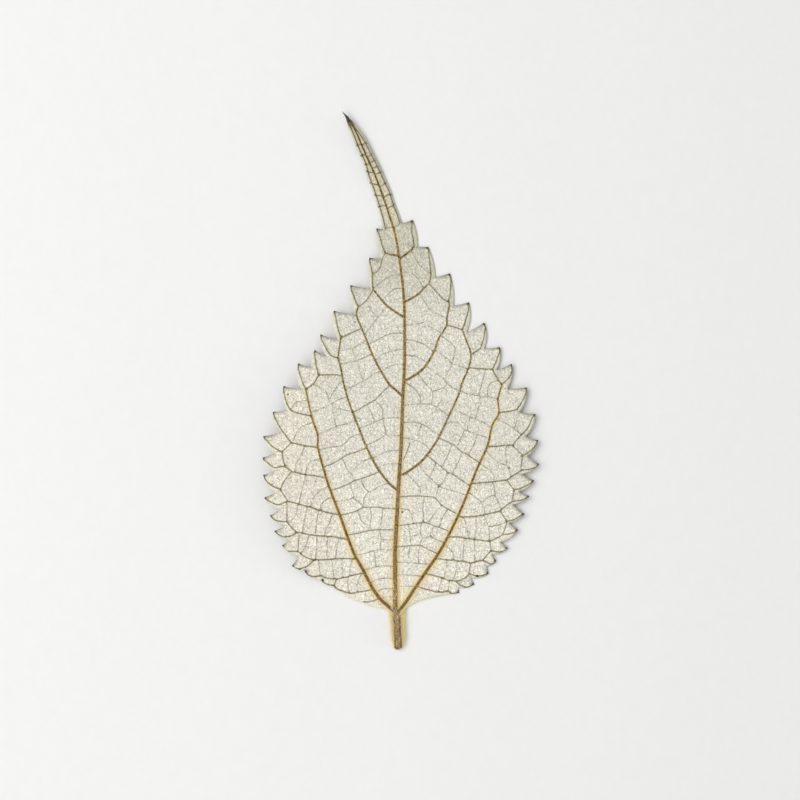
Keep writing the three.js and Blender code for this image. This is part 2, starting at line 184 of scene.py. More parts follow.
# The finer cross veins between the branches.
RUNGS = [
    [(1.5, 19.45), (1.95, 18.55), (2.67, 17.45), (3.4, 16.7), (4.3, 16.1)],
    [(0.05, 15.95), (-1.44, 15.85), (-2.67, 15.1), (-4.2, 13.9)],
    [(-2.6, 23.05), (-1.8, 23), (-1.2, 23.05)], [(-1.2, 22.95), (-0.6, 23.3), (-0.05, 23.7)],
    [(0.4, 7.2), (-1.1, 7.15), (-2.5, 6.8), (-3.4, 6.3), (-4.7, 5.6)],
    [(0.4, 4.75), (-0.8, 4.65), (-2.2, 4.25), (-3.2, 3.75), (-3.8, 3.2)],
    [(0.1, 2.5), (-0.9, 2.45), (-2, 2.1)], [(0.5, 8.4), (1.4, 8.4), (2.6, 8.62), (3.2, 8.75)],
    [(0.5, 6.2), (2.1, 6), (3.2, 5.6), (4.8, 4.5)], [(0.5, 3.95), (2.1, 3.7), (2.9, 3.3), (3.8, 2.8)],
    [(4, 8.3), (4.8, 7.8), (5.9, 7.2)], [(6, 6.7), (6.9, 6.1), (7.9, 5.2), (8.05, 4.6), (7.7, 3.2)],
    [(5.1, 4.6), (6, 3.95), (6.7, 3.4)], [(7.3, 2.85), (8.5, 2.3), (9.9, 1.8)],
    [(3.8, 2.2), (4.8, 1.4), (6.2, 0.35), (7.1, -0.6), (7.9, -1.15), (8.8, -1.55)],
    [(2.6, 0.9), (3.4, -0.2), (4, -0.85), (4.6, -1.6), (4.7, -2.6), (4.45, -3.4)],
    [(4.8, -1.5), (6.1, -1.1), (6.8, -0.5), (6.3, 0.3)], [(6.5, 0.4), (7, 1.5), (7.6, 2.6)],
    [(0.2, -3.75), (1.8, -3.5), (4.3, -3.45), (5.3, -3.95), (7.1, -5.3)],
    [(0.7, -0.3), (1.6, -0.9), (2.3, -1.5), (2.85, -2.6), (2.8, -3.4)],
    [(0.1, -6.2), (2.1, -6.2), (3.4, -6.6), (4.6, -7.4), (5.7, -8.15)], [(5.3, -3.8), (5.9, -3.1)],
    [(3, -6.6), (2.6, -7.6), (2.5, -8.6)],
    [(0, -8.45), (1.5, -8.75), (2.4, -9), (3.5, -9.5), (4.3, -10.3)],
    [(-3.3, 1.45), (-4.4, 0.9), (-5.7, -0.1), (-6.8, -0.55), (-8.35, -1.35)],
    [(-4.5, 3.95), (-5.6, 3.5), (-6.8, 3), (-8, 2.75), (-9.1, 2.6)],
    [(-5.5, 6), (-6.5, 5.4), (-7.3, 4.8), (-7.1, 4), (-6.7, 3.1)],
    [(-6.6, 2.8), (-6.3, 1.5), (-5.8, 0.1)],
    [(0, -5.5), (-1.7, -5.5), (-2.7, -5.6), (-3.9, -6.1), (-5, -6.6), (-6.2, -7)],
    [(-0.1, -8.2), (-2.2, -8.1), (-3, -8.5), (-4.2, -9.2), (-5.3, -9.6)],
    [(-2.8, -5.5), (-2.9, -4.1), (-3.9, -3)], [(-5.1, -3.6), (-4.5, -4.9), (-4, -6)],
    [(-2.8, -5.8), (-2.45, -7.2), (-2.3, -8.1)],
    [(-0.2, -10.4), (-1.8, -10.5), (-2.8, -10.8), (-4.2, -11.5)],
    [(-0.3, -12.4), (-2.3, -12.45), (-3.6, -13)],
    [(-6.9, -5.95), (-8.6, -6.5), (-9.7, -6.8), (-11, -7.4), (-12.5, -8)],
    [(-8.2, -2.4), (-9.5, -2.8), (-10.4, -3.3), (-11.4, -3.9), (-13.6, -4.7)],
    [(-6.2, -7.9), (-7.4, -8.3), (-9, -9.7), (-10.5, -9.9), (-12.4, -10.3)],
    [(-2.2, -15.4), (-3.4, -15.8), (-4.4, -16.5), (-5.1, -16.8), (-5.6, -17.6), (-5.7, -18.9)],
    [(-6, -14.8), (-5.7, -15.8), (-5, -16.6)],
    [(-8.9, -11.7), (-8.4, -12.5), (-8.1, -13.4), (-7.4, -14.1), (-7.2, -14.9)],
    [(-7.5, -13.9), (-6.9, -13), (-6.2, -12.3), (-4.6, -11.5)],
    [(-7.7, -15.4), (-7.4, -16.4), (-7.15, -17.3), (-8.2, -17.9), (-9.9, -18.05)],
    [(-7.2, -17.5), (-6.2, -18.3), (-5.8, -18.8)],
    [(-4.7, -19), (-4.5, -20.3), (-4.7, -21.6), (-4.5, -22.4)],
    [(-2.8, -19.1), (-3, -20.8), (-3.3, -22.2), (-3.1, -23.5), (-3.2, -25.2)],
    [(-6.5, -19.5), (-6, -21), (-5.1, -21.6), (-4.7, -21.8)],
    [(-1, -25.3), (-2.9, -25.3), (-4.2, -25.4), (-5.3, -25.8), (-6.9, -26.1)],
    [(-1, -23.8), (-3.1, -23.8)], [(-1.1, -27.8), (-3, -27.7), (-4.5, -28), (-5.8, -28.4)],
    [(-1.1, -29.6), (-3, -29.6), (-4.9, -30.3)], [(-1.1, -31.15), (-2.5, -31.1), (-4, -31.7)],
    [(-1.1, -32.3), (-2.6, -32.4)], [(-4.1, -25.5), (-3.8, -27.7)],
    [(0.9, -14), (2.1, -15.2), (2.8, -16), (2.8, -17.2)],
    [(2.6, -12.5), (3.4, -13.6), (4.1, -14.4), (5.1, -15.3), (5.9, -15.9), (7, -16.3), (8.3, -16.6),
     (9.7, -17.1)], [(7.5, -9.5), (7, -11), (6.6, -11.8), (6.1, -12.8)],
    [(9.1, -10.7), (8.5, -12.2), (7.6, -13.9)], [(5.2, -12.3), (4.7, -13.4), (4.2, -14.4)],
    [(6.9, -13.7), (6.2, -15.2), (5.5, -15.9), (5.2, -17.4)],
    [(3.4, -17.3), (3.2, -19), (3.3, -20.3), (3.3, -21.1)], [(6, -18.7), (5, -19.8), (4.1, -21.1)],
    [(6.9, -19.3), (6.2, -20.3), (5.7, -21.8)], [(0, -19.15), (1.2, -19.4), (1.6, -20.5), (1.8, -21.3)],
    [(4.9, -21.7), (4.3, -23.2), (6.3, -24.2)], [(3, -21.3), (2.8, -22.6), (3.2, -23.5), (4.3, -23.3)],
    [(1.2, -21.5), (1.2, -22.8), (1.45, -24.6)], [(2.7, -24.7), (2.5, -26.2), (2.6, -27.3)],
    [(3.15, -23.6), (2.85, -24.1), (2.7, -24.6)], [(1.35, -23.3), (2, -23.2), (2.4, -22.95)],
    [(1.25, -24.9), (1.15, -25.6), (1.05, -26.4)],
    [(-0.8, -27.15), (0.9, -27.2), (2.1, -27.3), (4.4, -27.5)],
    [(-0.8, -29.05), (1.4, -29.1), (3.2, -29.3)], [(-0.8, -30.75), (0.6, -30.8), (2.2, -30.75)],
    [(9.3, -20.4), (9.6, -21.3), (9.9, -22.6), (10.1, -23.6)], [(11.1, -20.3), (11.2, -22), (11, -23.75)],
    [(12.3, -20.05), (12.8, -21.2), (13.1, -22.3), (13.15, -23.9)],
    [(13.1, -21.8), (14.3, -21.6), (15.6, -21.2)],
    [(10.2, -16.8), (11.3, -17.6), (12.1, -18.3), (12.4, -19.2), (12.5, -20)],
    [(12.4, -17.9), (12.9, -17.4), (14, -17.1)],
    [(13.6, -15.1), (13.9, -16), (14, -17.2), (14.4, -18), (14.9, -19.2)],
    [(12.8, -10.6), (13.5, -11.4), (14.5, -12.2), (15.8, -12.7), (16.1, -13.4), (16.4, -14.3)],
    [(11.9, -12.5), (13.2, -13.3), (13.9, -14.3), (13.9, -15)],
    [(15.7, -9.65), (15.6, -10.8), (15.8, -12.6)], [(9.4, -23.6), (9.3, -24.6), (9.2, -26.9)],
    [(10.95, -23.8), (10.95, -25.5), (11, -27.1)], [(6.8, -26.8), (6.7, -28), (6.35, -29.5)],
    [(8.4, -27), (8.2, -28.3), (7.75, -29.9)], [(6.1, -29.6), (5.5, -31.5)],
    [(7.15, -29.9), (6.95, -31.5)], [(6.7, -24.7), (7.7, -25.7), (7.8, -26.8)],
    [(12.6, 1.8), (12.2, 0.2), (11.9, -0.9), (11.6, -2), (11.8, -2.4), (11.5, -4), (11.1, -5.6)],
    [(8.8, -1.4), (9.8, -1.9), (11.6, -2.2), (13.2, -2.4), (14.4, -2.75)],
    [(8, -4.2), (9.2, -4.9), (10.3, -5.4), (11.3, -5.8), (12.4, -6.3), (13.5, -6.9)],
    [(6.4, -6.4), (8.3, -6.1), (9.1, -7), (9.9, -7.5), (11.4, -8), (13.1, -8.6)],
    [(14.2, -5.6), (15.9, -6.5), (16.8, -7.1), (17.9, -8)],
    [(14.5, 0.1), (13.3, -0.3), (12.9, -1.2), (12.9, -2.4)], [(17.3, -4.4), (17.2, -6.1), (16.9, -7.1)],
    [(9.4, -7.3), (8.9, -8.6), (8.3, -9.9)], [(11.3, -8), (10.9, -9.4), (10, -11)],
    [(10.3, -5.5), (9.9, -6.5), (9.9, -7.5)], [(-14.3, -2.9), (-15.8, -3.2), (-16.5, -4.3)],
    [(-13.3, -6.2), (-14.6, -6.7), (-15.4, -7.3), (-16.2, -8.9)],
    [(-14.5, -9.75), (-14.8, -10.6), (-15.2, -11.5), (-15.8, -12.4), (-15.9, -13.6)],
    [(-12.2, -11.7), (-13.6, -12), (-14.2, -13.2), (-14.3, -14), (-14.6, -15.2), (-14.9, -16.5),
     (-15.2, -17.6), (-15.3, -18.4)],
    [(-10.9, -15.7), (-12, -16.3), (-13, -17.2), (-13.4, -18), (-13.6, -18.8)],
    [(-10.3, -17.3), (-11.6, -18), (-12.1, -18.6), (-12.1, -19.3)],
    [(-15.5, -18.5), (-15.7, -19.8), (-16.2, -20.6), (-16.9, -21)],
    [(-14.1, -18.8), (-14.5, -20.7), (-14.8, -22.7)], [(-12.4, -19.4), (-12.7, -21), (-12.9, -23.1)],
    [(-10.4, -20.1), (-10.9, -21.5), (-11.4, -22.3), (-11.5, -23.2)],
    [(-13.8, -23), (-14.2, -24.3), (-14.6, -25.2), (-15, -25.8)],
    [(-12.65, -23.2), (-12.75, -25), (-12.85, -26.6)],
    [(-11.1, -23.3), (-11.15, -25.3), (-11.2, -26.1), (-11.1, -26.7)],
    [(-9.4, -23.5), (-9.7, -25), (-9.9, -26.6)], [(-12.4, -26.8), (-12.3, -28.2), (-12.1, -29.1)],
    [(-10.5, -26.7), (-10.3, -28), (-10.1, -29.6)], [(-8.9, -26.6), (-8.9, -27.9), (-8.8, -29.4)],
    [(-7.4, -26.7), (-7.7, -28.1), (-7.7, -29.1)], [(-8.1, -29.4), (-8, -31), (-7.9, -31.7)],
    [(-6, -28.9), (-6.6, -30.1), (-6.6, -31.6)], [(-6.1, -5.8), (-7.7, -4.6), (-9.2, -4.2), (-10.1, -4)],
    [(-10.4, -3.4), (-10.2, -5), (-9.8, -6.8)], [(-13, -0.6), (-11.4, -1.4), (-10.8, -3.1)],
    [(-8.8, 0.3), (-10, -1.4), (-10.8, -2.7)],
    [(-2.1, 11.2), (-3.2, 10), (-4, 8.9), (-4.7, 8), (-5.5, 7)], [(-5, 11.3), (-4.3, 10.3), (-3.7, 9.7)],
    [(-2.9, 12.1), (-2, 13), (-1, 13.8), (0.2, 13.9)], [(1.6, 16.1), (2.5, 15.3), (3.3, 14)],
    [(2.6, 13), (3.1, 12.4), (3.7, 11.5), (4.1, 10.8), (4.8, 10.3), (5.6, 9.9), (6.8, 9.4)]]
# Loops that join the branches near the margins.
LOOPS = [
    [(16.6, -9.65), (17.4, -10.4), (18.1, -11.15)], [(18.1, -11.25), (17.95, -12.1), (17.85, -13.3)],
    [(15.8, -14.85), (16.25, -15.5), (16.75, -16.2)], [(16.75, -16.35), (16.7, -16.9), (16.5, -18)],
    [(14.8, -19.5), (15.4, -20.45), (15.7, -20.95), (15.7, -21.4), (15.5, -22), (15.2, -22.95)],
    [(13.2, -24), (13.35, -24.8), (13.4, -25.5)], [(10.3, -27.3), (10.23, -28.2), (10.15, -28.9)],
    [(-16.45, -9.25), (-17.05, -9.8), (-17.75, -10.55)],
    [(-18, -16.15), (-17.9, -15.8), (-17.4, -14.8), (-16.55, -13.65)],
    [(-18.05, -16.3), (-17.5, -17.1), (-17, -17.9)], [(-17.15, -21), (-17.1, -20), (-17.12, -18.2)],
    [(-15.3, -23), (-15.4, -24.1), (-15.42, -25.4)], [(-9.8, -29.7), (-9.95, -30.2), (-10.05, -30.6)]]
# Short cross veins in the tail.
TAIL_RUNGS = [
    [(-4.2, 31.15), (-5.2, 31.35)], [(-3.7, 29.4), (-4.65, 29.6)], [(-3, 27.75), (-4.05, 27.9)],
    [(-2.4, 26.3), (-3.6, 26.15)], [(-5.2, 33.4), (-4.4, 34)], [(-4, 30.9), (-2.95, 31.3)],
    [(-3.2, 29.1), (-2.3, 29.7)], [(-2.7, 27.5), (-1.8, 28), (-1.35, 27.9)],
    [(-2.1, 25.85), (-1.05, 26.5)], [(-4.85, 32.6), (-3.95, 33)], [(-4.4, 31.8), (-3.5, 32.2)],
    [(-6, 35.3), (-5.2, 35.6)], [(-5.3, 33.9), (-6.1, 33.7)], [(-4.75, 32.5), (-5.5, 32.4)],
    [(-6, 35.4), (-6.7, 35.3)]]
# Cross veins that stand out more than their neighbours.
STRONG_RUNGS = [
    [(-1.9, -0.8), (-2.8, -1.6), (-3.9, -2.8), (-5.2, -3.5), (-6.6, -4.4), (-7.4, -4.7)],
    [(-0.7, -19.15), (-2.4, -19.05), (-3.6, -18.9), (-5.7, -18.95), (-7, -19.6), (-9.1, -20.1)],
    [(-0.4, -17.4), (1.2, -17.25), (2.9, -17.25), (4, -17.3), (5, -17.5), (6, -18.6), (7.2, -19.3),
     (8.6, -20.1)], [(3.9, -11.2), (5, -12.1), (6, -12.9), (7, -13.7), (8.2, -14.3), (10.3, -15.75)],
    [(5.5, -8.5), (6.4, -8.9), (7.9, -9.6), (8.6, -10.3), (9.8, -11), (11.7, -12.25)],
    [(-4.3, 13.6), (-4.72, 12.82), (-5.44, 11.8), (-6.4, 11.1)],
    [(-0.7, -21.7), (1.6, -21.4), (3.4, -21.2), (4.6, -21.6), (5.8, -22), (7.4, -22.6)],
    [(-0.9, -24.85), (1.1, -24.7), (2.8, -24.6), (3.9, -25.2), (5.5, -25.9)],
    [(-5.3, -10.05), (-6.6, -10.6), (-8, -11), (-9, -11.6), (-10.4, -12.4), (-11.7, -12.9)],
    [(-3.4, -13.6), (-5, -14.3), (-6.1, -14.65), (-7.1, -14.95), (-8, -15.45), (-9.4, -16), (-10.7, -16.5)],
    [(-0.9, -22.3), (-2.5, -22.3), (-3.9, -22.3), (-5.3, -22.5), (-6.4, -22.8), (-8.1, -23.05)],
    [(4.2, 14.5), (5.33, 13.23), (6.36, 12.2), (7.1, 11.75)],
    [(-2.46, 19.2), (-2.77, 18.45), (-2.97, 17.85), (-3.2, 17), (-3.7, 16.3), (-4.3, 16)]]
# A dark dried fibre, and small dark spots: centre and radius.
FIBRES = [
    [(1.2, -9.5), (0.8, -10.6), (0.3, -11.8)]]
SPOTS = [
    (0.1, -19.65, 0.2), (-16.95, -2.05, 0.19), (-6.95, 8.8, 0.17), (5.5, -15.85, 0.16), (16.1, -13, 0.2),
    (4.4, -23.2, 0.16), (-12.8, -15.05, 0.14), (-11.82, -29.78, 0.3), (-15.27, -28.14, 0.2),
    (11.38, -29.2, 0.26), (-14.3, -28.45, 0.24), (3.2, -20.9, 0.13), (0.5, -22.6, 0.14),
    (-2.95, 22.7, 0.18)]

# ---------------------------------------------------------------- sizes

BLADE_THICKNESS = 0.3
LEFT_LIFT, RIGHT_LIFT, TAIL_LIFT = 1.6, 0.9, 0.7
TOOTH_HOLLOW = 0.06
TOOTH_BELLY, UPPER_TOOTH_BELLY, LOWEST_TOOTH_BELLY, UPPER_TEETH = 0.19, 0.1, 0.03, 3
OUTLINE_STEP = 0.24
RIM_WIDTH = 0.13
# Height of the rim's lower and upper edge, as shares of the blade's thickness.
RIM_LOW, RIM_HIGH = 0.3, 0.62
ON_RIM = 0.01
ROUTE_STEP = 0.3
LATTICE_STEP = 0.46
STALK_TOP, STALK_BLEND = -35.7, 1.4
STALK_CENTRE = 0.53
STALK_FOOT, STALK_FOOT_END = -40.3, -39.75
STALK_SIDE, STALK_SWELL = 0.03, 0.47
STALK_ROWS, STALK_ROW_STEP, LOWEST_STALK_ROW = 33, 0.15, -40.05
LATTICE_LEFT, LATTICE_FOOT, LATTICE_WIDTH, LATTICE_LENGTH = -22, -41, 44, 82
TAIL_MARGIN_TOP = 39.2
# The least distance between a new mesh point and those already there.
RIM_GAP, SPOT_GAP, VEIN_GAP, STALK_GAP, LATTICE_GAP = 0.09, 0.04, 0.06, 0.03, 0.24
# How far inside the outline a mesh point has to be.
SPOT_DEPTH, VEIN_DEPTH, STALK_DEPTH, LATTICE_DEPTH = 0.05, 0.07, 0.02, 0.22
# Only vein spans with their middle this near to a place are looked at.
VEIN_REACH = 0.62

# Each kind of vein: half-width at its root and end, height there, brownness there, and how strong it shows.
VEIN_KINDS = {
    "midrib": ((0.5, 0.13), (0.46, 0.09), (1.0, 0.6), 1.0),
    "basal": ((0.35, 0.16), (0.32, 0.12), (1.0, 0.72), 1.0),
    "side": ((0.25, 0.16), (0.18, 0.08), (0.82, 0.5), 1.0),
    "branch": ((0.2, 0.16), (0.1, 0.08), (0.48, 0.34), 1.0),
    "tooth": ((0.16, 0.2), (0.05, 0.13), (0.32, 0.36), 1.0),
    "loop": ((0.16, 0.14), (0.08, 0.08), (0.3, 0.3), 0.95),
    "strong": ((0.16, 0.16), (0.07, 0.07), (0.26, 0.26), 0.95),
    "rung": ((0.14, 0.14), (0.06, 0.06), (0.1, 0.1), 0.92),
    "tail_margin": ((0.17, 0.15), (0.05, 0.04), (0.0, 0.0), 1.0),
    "ladder": ((0.14, 0.14), (0.04, 0.04), (0.0, 0.0), 0.9),
    "fibre": ((0.15, 0.1), (0.03, 0.0), (1.0, 1.0), 1.0)}
TAIL_VEIN_INSET = (0.31, 0.27)
HALOED = ("midrib", "basal")
VEIN_SWING = {"strong": 0.55, "rung": 0.55, "tooth": 0.75, "branch": 0.75}


def ease(value, low, high):
    t = min(1.0, max(0.0, (value - low) / (high - low)))
    return t * t * (3 - 2 * t)


def lerp(a, b, t):
    return a + (b - a) * t


def lift(x, y):
    """Height of the blade's lower face over the table: its side margins and tail have curled up a little."""
    towards_left = -x + 0.45 * max(0.0, y + 5)
    left = LEFT_LIFT * ease(towards_left, 8, 20) * (1 - ease(y, 16, 26))
    return left + RIGHT_LIFT * ease(x, 10, 21) + TAIL_LIFT * ease(y, 24, 40)


def smooth_route(points, step, swing=1.0):
    """Points about `step` apart on a curve through the given ones; a small swing keeps its corners."""
    knots = [Vector(p) for p in points]
    leans = []
    for i in range(len(knots)):
        lean = knots[min(i + 1, len(knots) - 1)] - knots[max(i - 1, 0)]
        leans.append(lean.normalized())
    route = [knots[0]]
    for i in range(len(knots) - 1):
        a, b = knots[i], knots[i + 1]
        reach = (b - a).length / 3 * swing
        p1, p2 = a + leans[i] * reach, b - leans[i + 1] * reach
        count = max(1, round((b - a).length / step))
        for k in range(1, count + 1):
            t = k / count
            s = 1 - t
            route.append(a * s ** 3 + p1 * (3 * s * s * t) + p2 * (3 * s * t * t) + b * t ** 3)
    return route


def tooth_side(start, stop, bow, step):
    """One side of a tooth, bowed out (positive) or hollowed, without its first point."""
    a, b = Vector(start), Vector(stop)
    control = (a + b) / 2 + Vector((b.y - a.y, a.x - b.x)) * bow
    count = max(2, round((b - a).length / step))
    points = []
    for k in range(1, count + 1):
        t = k / count
        points.append(a * (1 - t) ** 2 + control * (2 * t * (1 - t)) + b * t * t)
    return points


def outline_points():
    """The whole outline, anticlockwise, as (place, kind of edge, dark, pale) from the tail tip. The dark line
    is partly the margin's own colour and partly painted shade, heavier on the right-hand side away from the
    light.
    """
    rows = []

    def add(points, kind, dark, pale):
        count = len(points)
        for i, p in enumerate(points):
            t = (i + 1) / count
            rows.append((p, kind, dark(t), pale))

    tail = smooth_route([TAIL_TIP] + TAIL_LEFT, OUTLINE_STEP)
    add(tail[:-1], "tail", lambda t: 0.12, 0.75)
    add([Vector(TAIL_LEFT[-1])], "tail", lambda t: 0.3, 0.5)
    for i, (nx, ny, px, py) in enumerate(LEFT_TEETH):
        following = LEFT_TEETH[i + 1][:2] if i + 1 < len(LEFT_TEETH) else LEFT_BASE[0]
        belly = UPPER_TOOTH_BELLY if i < UPPER_TEETH else TOOTH_BELLY
        rows.append((Vector((nx, ny)), "notch", 0.35, 0.3))
        run = tooth_side((nx, ny), (px, py), -TOOTH_HOLLOW, OUTLINE_STEP)
        add(run, "distal", lambda t: 0.35 + 0.65 * t, 0.0)
        run = tooth_side((px, py), following, belly, OUTLINE_STEP)
        add(run[:-1], "proximal", lambda t: 0.45 * (1 - ease(t, 0.0, 0.35)) + 0.12, 0.9)
    base = smooth_route(LEFT_BASE, OUTLINE_STEP)
    add(base, "base", lambda t: 0.0, 0.6)
    stalk = smooth_route([LEFT_BASE[-1]] + STALK_LEFT, OUTLINE_STEP)[1:]
    stalk += smooth_route([STALK_LEFT[-1]] + STALK_END, OUTLINE_STEP / 2)[1:]
    stalk += smooth_route([STALK_END[-1]] + STALK_RIGHT[::-1] + [RIGHT_BASE[-1]], OUTLINE_STEP)[1:-1]
    add(stalk, "stalk", lambda t: 0.0, 0.0)
    # The right base gets a faint dark line where the left base gets none: painted shade under its edge.
    base = smooth_route(RIGHT_BASE[::-1], OUTLINE_STEP)
    add(base, "base", lambda t: 0.15, 0.6)
    # The right-hand teeth get darker edges than the left ones: painted shade on the side away from the light,
    # over the margin's own dark line.
    teeth = RIGHT_TEETH[::-1]
    before = RIGHT_BASE[0]
    for i, (nx, ny, px, py) in enumerate(teeth):
        belly = UPPER_TOOTH_BELLY if len(teeth) - i <= UPPER_TEETH else TOOTH_BELLY
        run = tooth_side(before, (px, py), belly if i else LOWEST_TOOTH_BELLY, OUTLINE_STEP)
        add(run[:-1], "proximal", lambda t: 0.35 + 0.4 * ease(t, 0.6, 1.0), 0.9)
        rows.append((Vector((px, py)), "distal", 1.0, 0.0))
        run = tooth_side((px, py), (nx, ny), -TOOTH_HOLLOW, OUTLINE_STEP)
        add(run, "distal", lambda t: 1.0 - 0.6 * t, 0.0)
        before = (nx, ny)
    tail = smooth_route([RIGHT_TEETH[0][:2]] + TAIL_RIGHT[::-1] + [TAIL_TIP], OUTLINE_STEP)
    add(tail[1:-1], "tail", lambda t: 0.15, 0.75)
    return rows


def vein_routes():
    """Every vein as (kind, evenly stepped points), the main ones first."""
    groups = [("midrib", [MIDRIB]), ("basal", BASALS), ("side", SIDE_VEINS), ("branch", BRANCHES),
              ("tooth", TOOTH_VEINS), ("loop", LOOPS), ("strong", STRONG_RUNGS), ("rung", RUNGS),
              ("ladder", TAIL_RUNGS), ("fibre", FIBRES)]
    return [(kind, smooth_route(route, ROUTE_STEP, VEIN_SWING.get(kind, 1.0)))
            for kind, routes in groups for route in routes]


def at(pair, t):
    return lerp(pair[0], pair[1], t)


def search_tree(places):
    tree = kdtree.KDTree(len(places))
    for i, place in enumerate(places):
        tree.insert((place.x, place.y, 0), i)
    tree.balance()
    return tree


class Drawing:
    """Answers questions about a place on the blade: what vein, edge or tooth point is near it."""

    def __init__(self):
        self.outline = outline_points()
        places = [row[0] for row in self.outline]
        count = len(places)
        self.outward = []
        for i, place in enumerate(places):
            along = (places[(i + 1) % count] - places[i]).normalized() + (place - places[i - 1]).normalized()
            self.outward.append(Vector((along.y, -along.x)).normalized())
        self.routes = vein_routes() + self.tail_margin_veins()
        self.outline_tree = search_tree(places)
        self.spans = []
        for kind, route in self.routes:
            widths, heights, browns, strength = VEIN_KINDS[kind]
            last = len(route) - 1
            for i in range(last):
                t0, t1 = i / last, (i + 1) / last
                self.spans.append((route[i], route[i + 1], (at(widths, t0), at(widths, t1)),
                                   (at(heights, t0), at(heights, t1)), at(browns, t0), strength, kind))
        self.span_tree = search_tree([(span[0] + span[1]) / 2 for span in self.spans])
        self.halo_strength = []
        for kind, route in self.routes:
            if kind in HALOED:
                for i, place in enumerate(route):
                    fade = 1 - 0.7 * ease(place.y, -31, 6 if kind == "midrib" else -8)
                    side = 0.8 * at(VEIN_KINDS[kind][0], i / (len(route) - 1))
                    self.halo_strength.append((fade, side))
        self.halo_tree = search_tree([p for kind, route in self.routes if kind in HALOED for p in route])
        self.points_tree = search_tree([Vector(row[2:]) for row in LEFT_TEETH + RIGHT_TEETH])

    def tail_margin_veins(self):
        """The two veins that run just inside the tail's edges."""
        sides = ([], [])
        for (place, kind, _, _), outward in zip(self.outline, self.outward):
            if kind == "tail" and place.y < TAIL_MARGIN_TOP:
                side = 0 if outward.x < 0 else 1
                sides[side].append(place - outward * TAIL_VEIN_INSET[side])
        return [("tail_margin", sides[0][::-1]), ("tail_margin", sides[1])]

    def depth(self, place):
        """How far inside the outline a place is (negative outside), and the nearest point's number."""
        _, index, distance = self.outline_tree.find((place.x, place.y, 0))
        inside = (place - self.outline[index][0]).dot(self.outward[index]) < 0
        return (distance if inside else -distance), index

    def vein(self, place):
        """Ridge height, vein strength and brownness at a place."""
        height = strength = brown = 0.0
        for _, index, _ in self.span_tree.find_range((place.x, place.y, 0), VEIN_REACH):
            a, b, widths, heights, span_brown, span_strength, kind = self.spans[index]
            along = b - a
            t = min(1.0, max(0.0, (place - a).dot(along) / along.length_squared))
            distance = (place - a - along * t).length
            half = at(widths, t)
            u = distance / half
            if u >= 1:
                continue
            height = max(height, at(heights, t) * (0.5 + 0.5 * math.cos(math.pi * u)) ** 0.8)
            shown = span_strength * (1 - ease(u, 0.5, 1.0))
            # The wide midrib and basal veins are painted lighter along their middle: a painted highlight on
            # the crest of the ridge.
            if kind in HALOED and half > 0.25:
                shown *= 1 - 0.2 * (1 - ease(u, 0.0, 0.4)) * ease(half, 0.25, 0.4)
            if shown > strength:
                strength, brown = shown, span_brown
        return height, strength, brown

    def halo(self, place):
        """How much yellow down shows beside the midrib and the basal veins."""
        _, index, distance = self.halo_tree.find((place.x, place.y, 0))
        fade, side = self.halo_strength[index]
        return fade * (1 - ease(distance - side, 0.04, 0.3 + 0.4 * fade))

    def burnt(self, place):
        """How dark a place is for being at a tooth's point, at the tail tip or in a spot."""
        _, index, distance = self.points_tree.find((place.x, place.y, 0))
        tail = (place - Vector(TAIL_TIP)).length
        scorch = max(1 - ease(distance, 0.12, 0.6), 1 - ease(tail, 1.7, 3.6))
        for x, y, radius in SPOTS:
            if abs(place.x - x) < radius and abs(place.y - y) < radius:
                scorch = max(scorch, 1 - ease((place - Vector((x, y))).length, 0.5 * radius, radius))
        return scorch


def curve_x(points, y):
    """The x of a run of points at a height y (the points run down the leaf)."""
    for (xa, ya), (xb, yb) in zip(points, points[1:]):
        if yb <= y <= ya:
            return lerp(xa, xb, (y - ya) / (yb - ya))
    return points[0][0] if y > points[0][1] else points[-1][0]


def stalk_span(y):
    """The x of the stalk's axis at a height y, and half its width there."""
    left, right = curve_x(STALK_LEFT, y), curve_x(STALK_RIGHT, y)
    return (left + right) / 2, (right - left) / 2


def stalk_shape(place):
    """The stalk's height at a place, 1 over its axis and 0 at its side, and how far across the place is."""
    axis, half = stalk_span(place.y)
    u = abs(place.x - axis) / half
    return math.sqrt(max(0.0, 1 - min(1.0, u) ** 2.2)), u


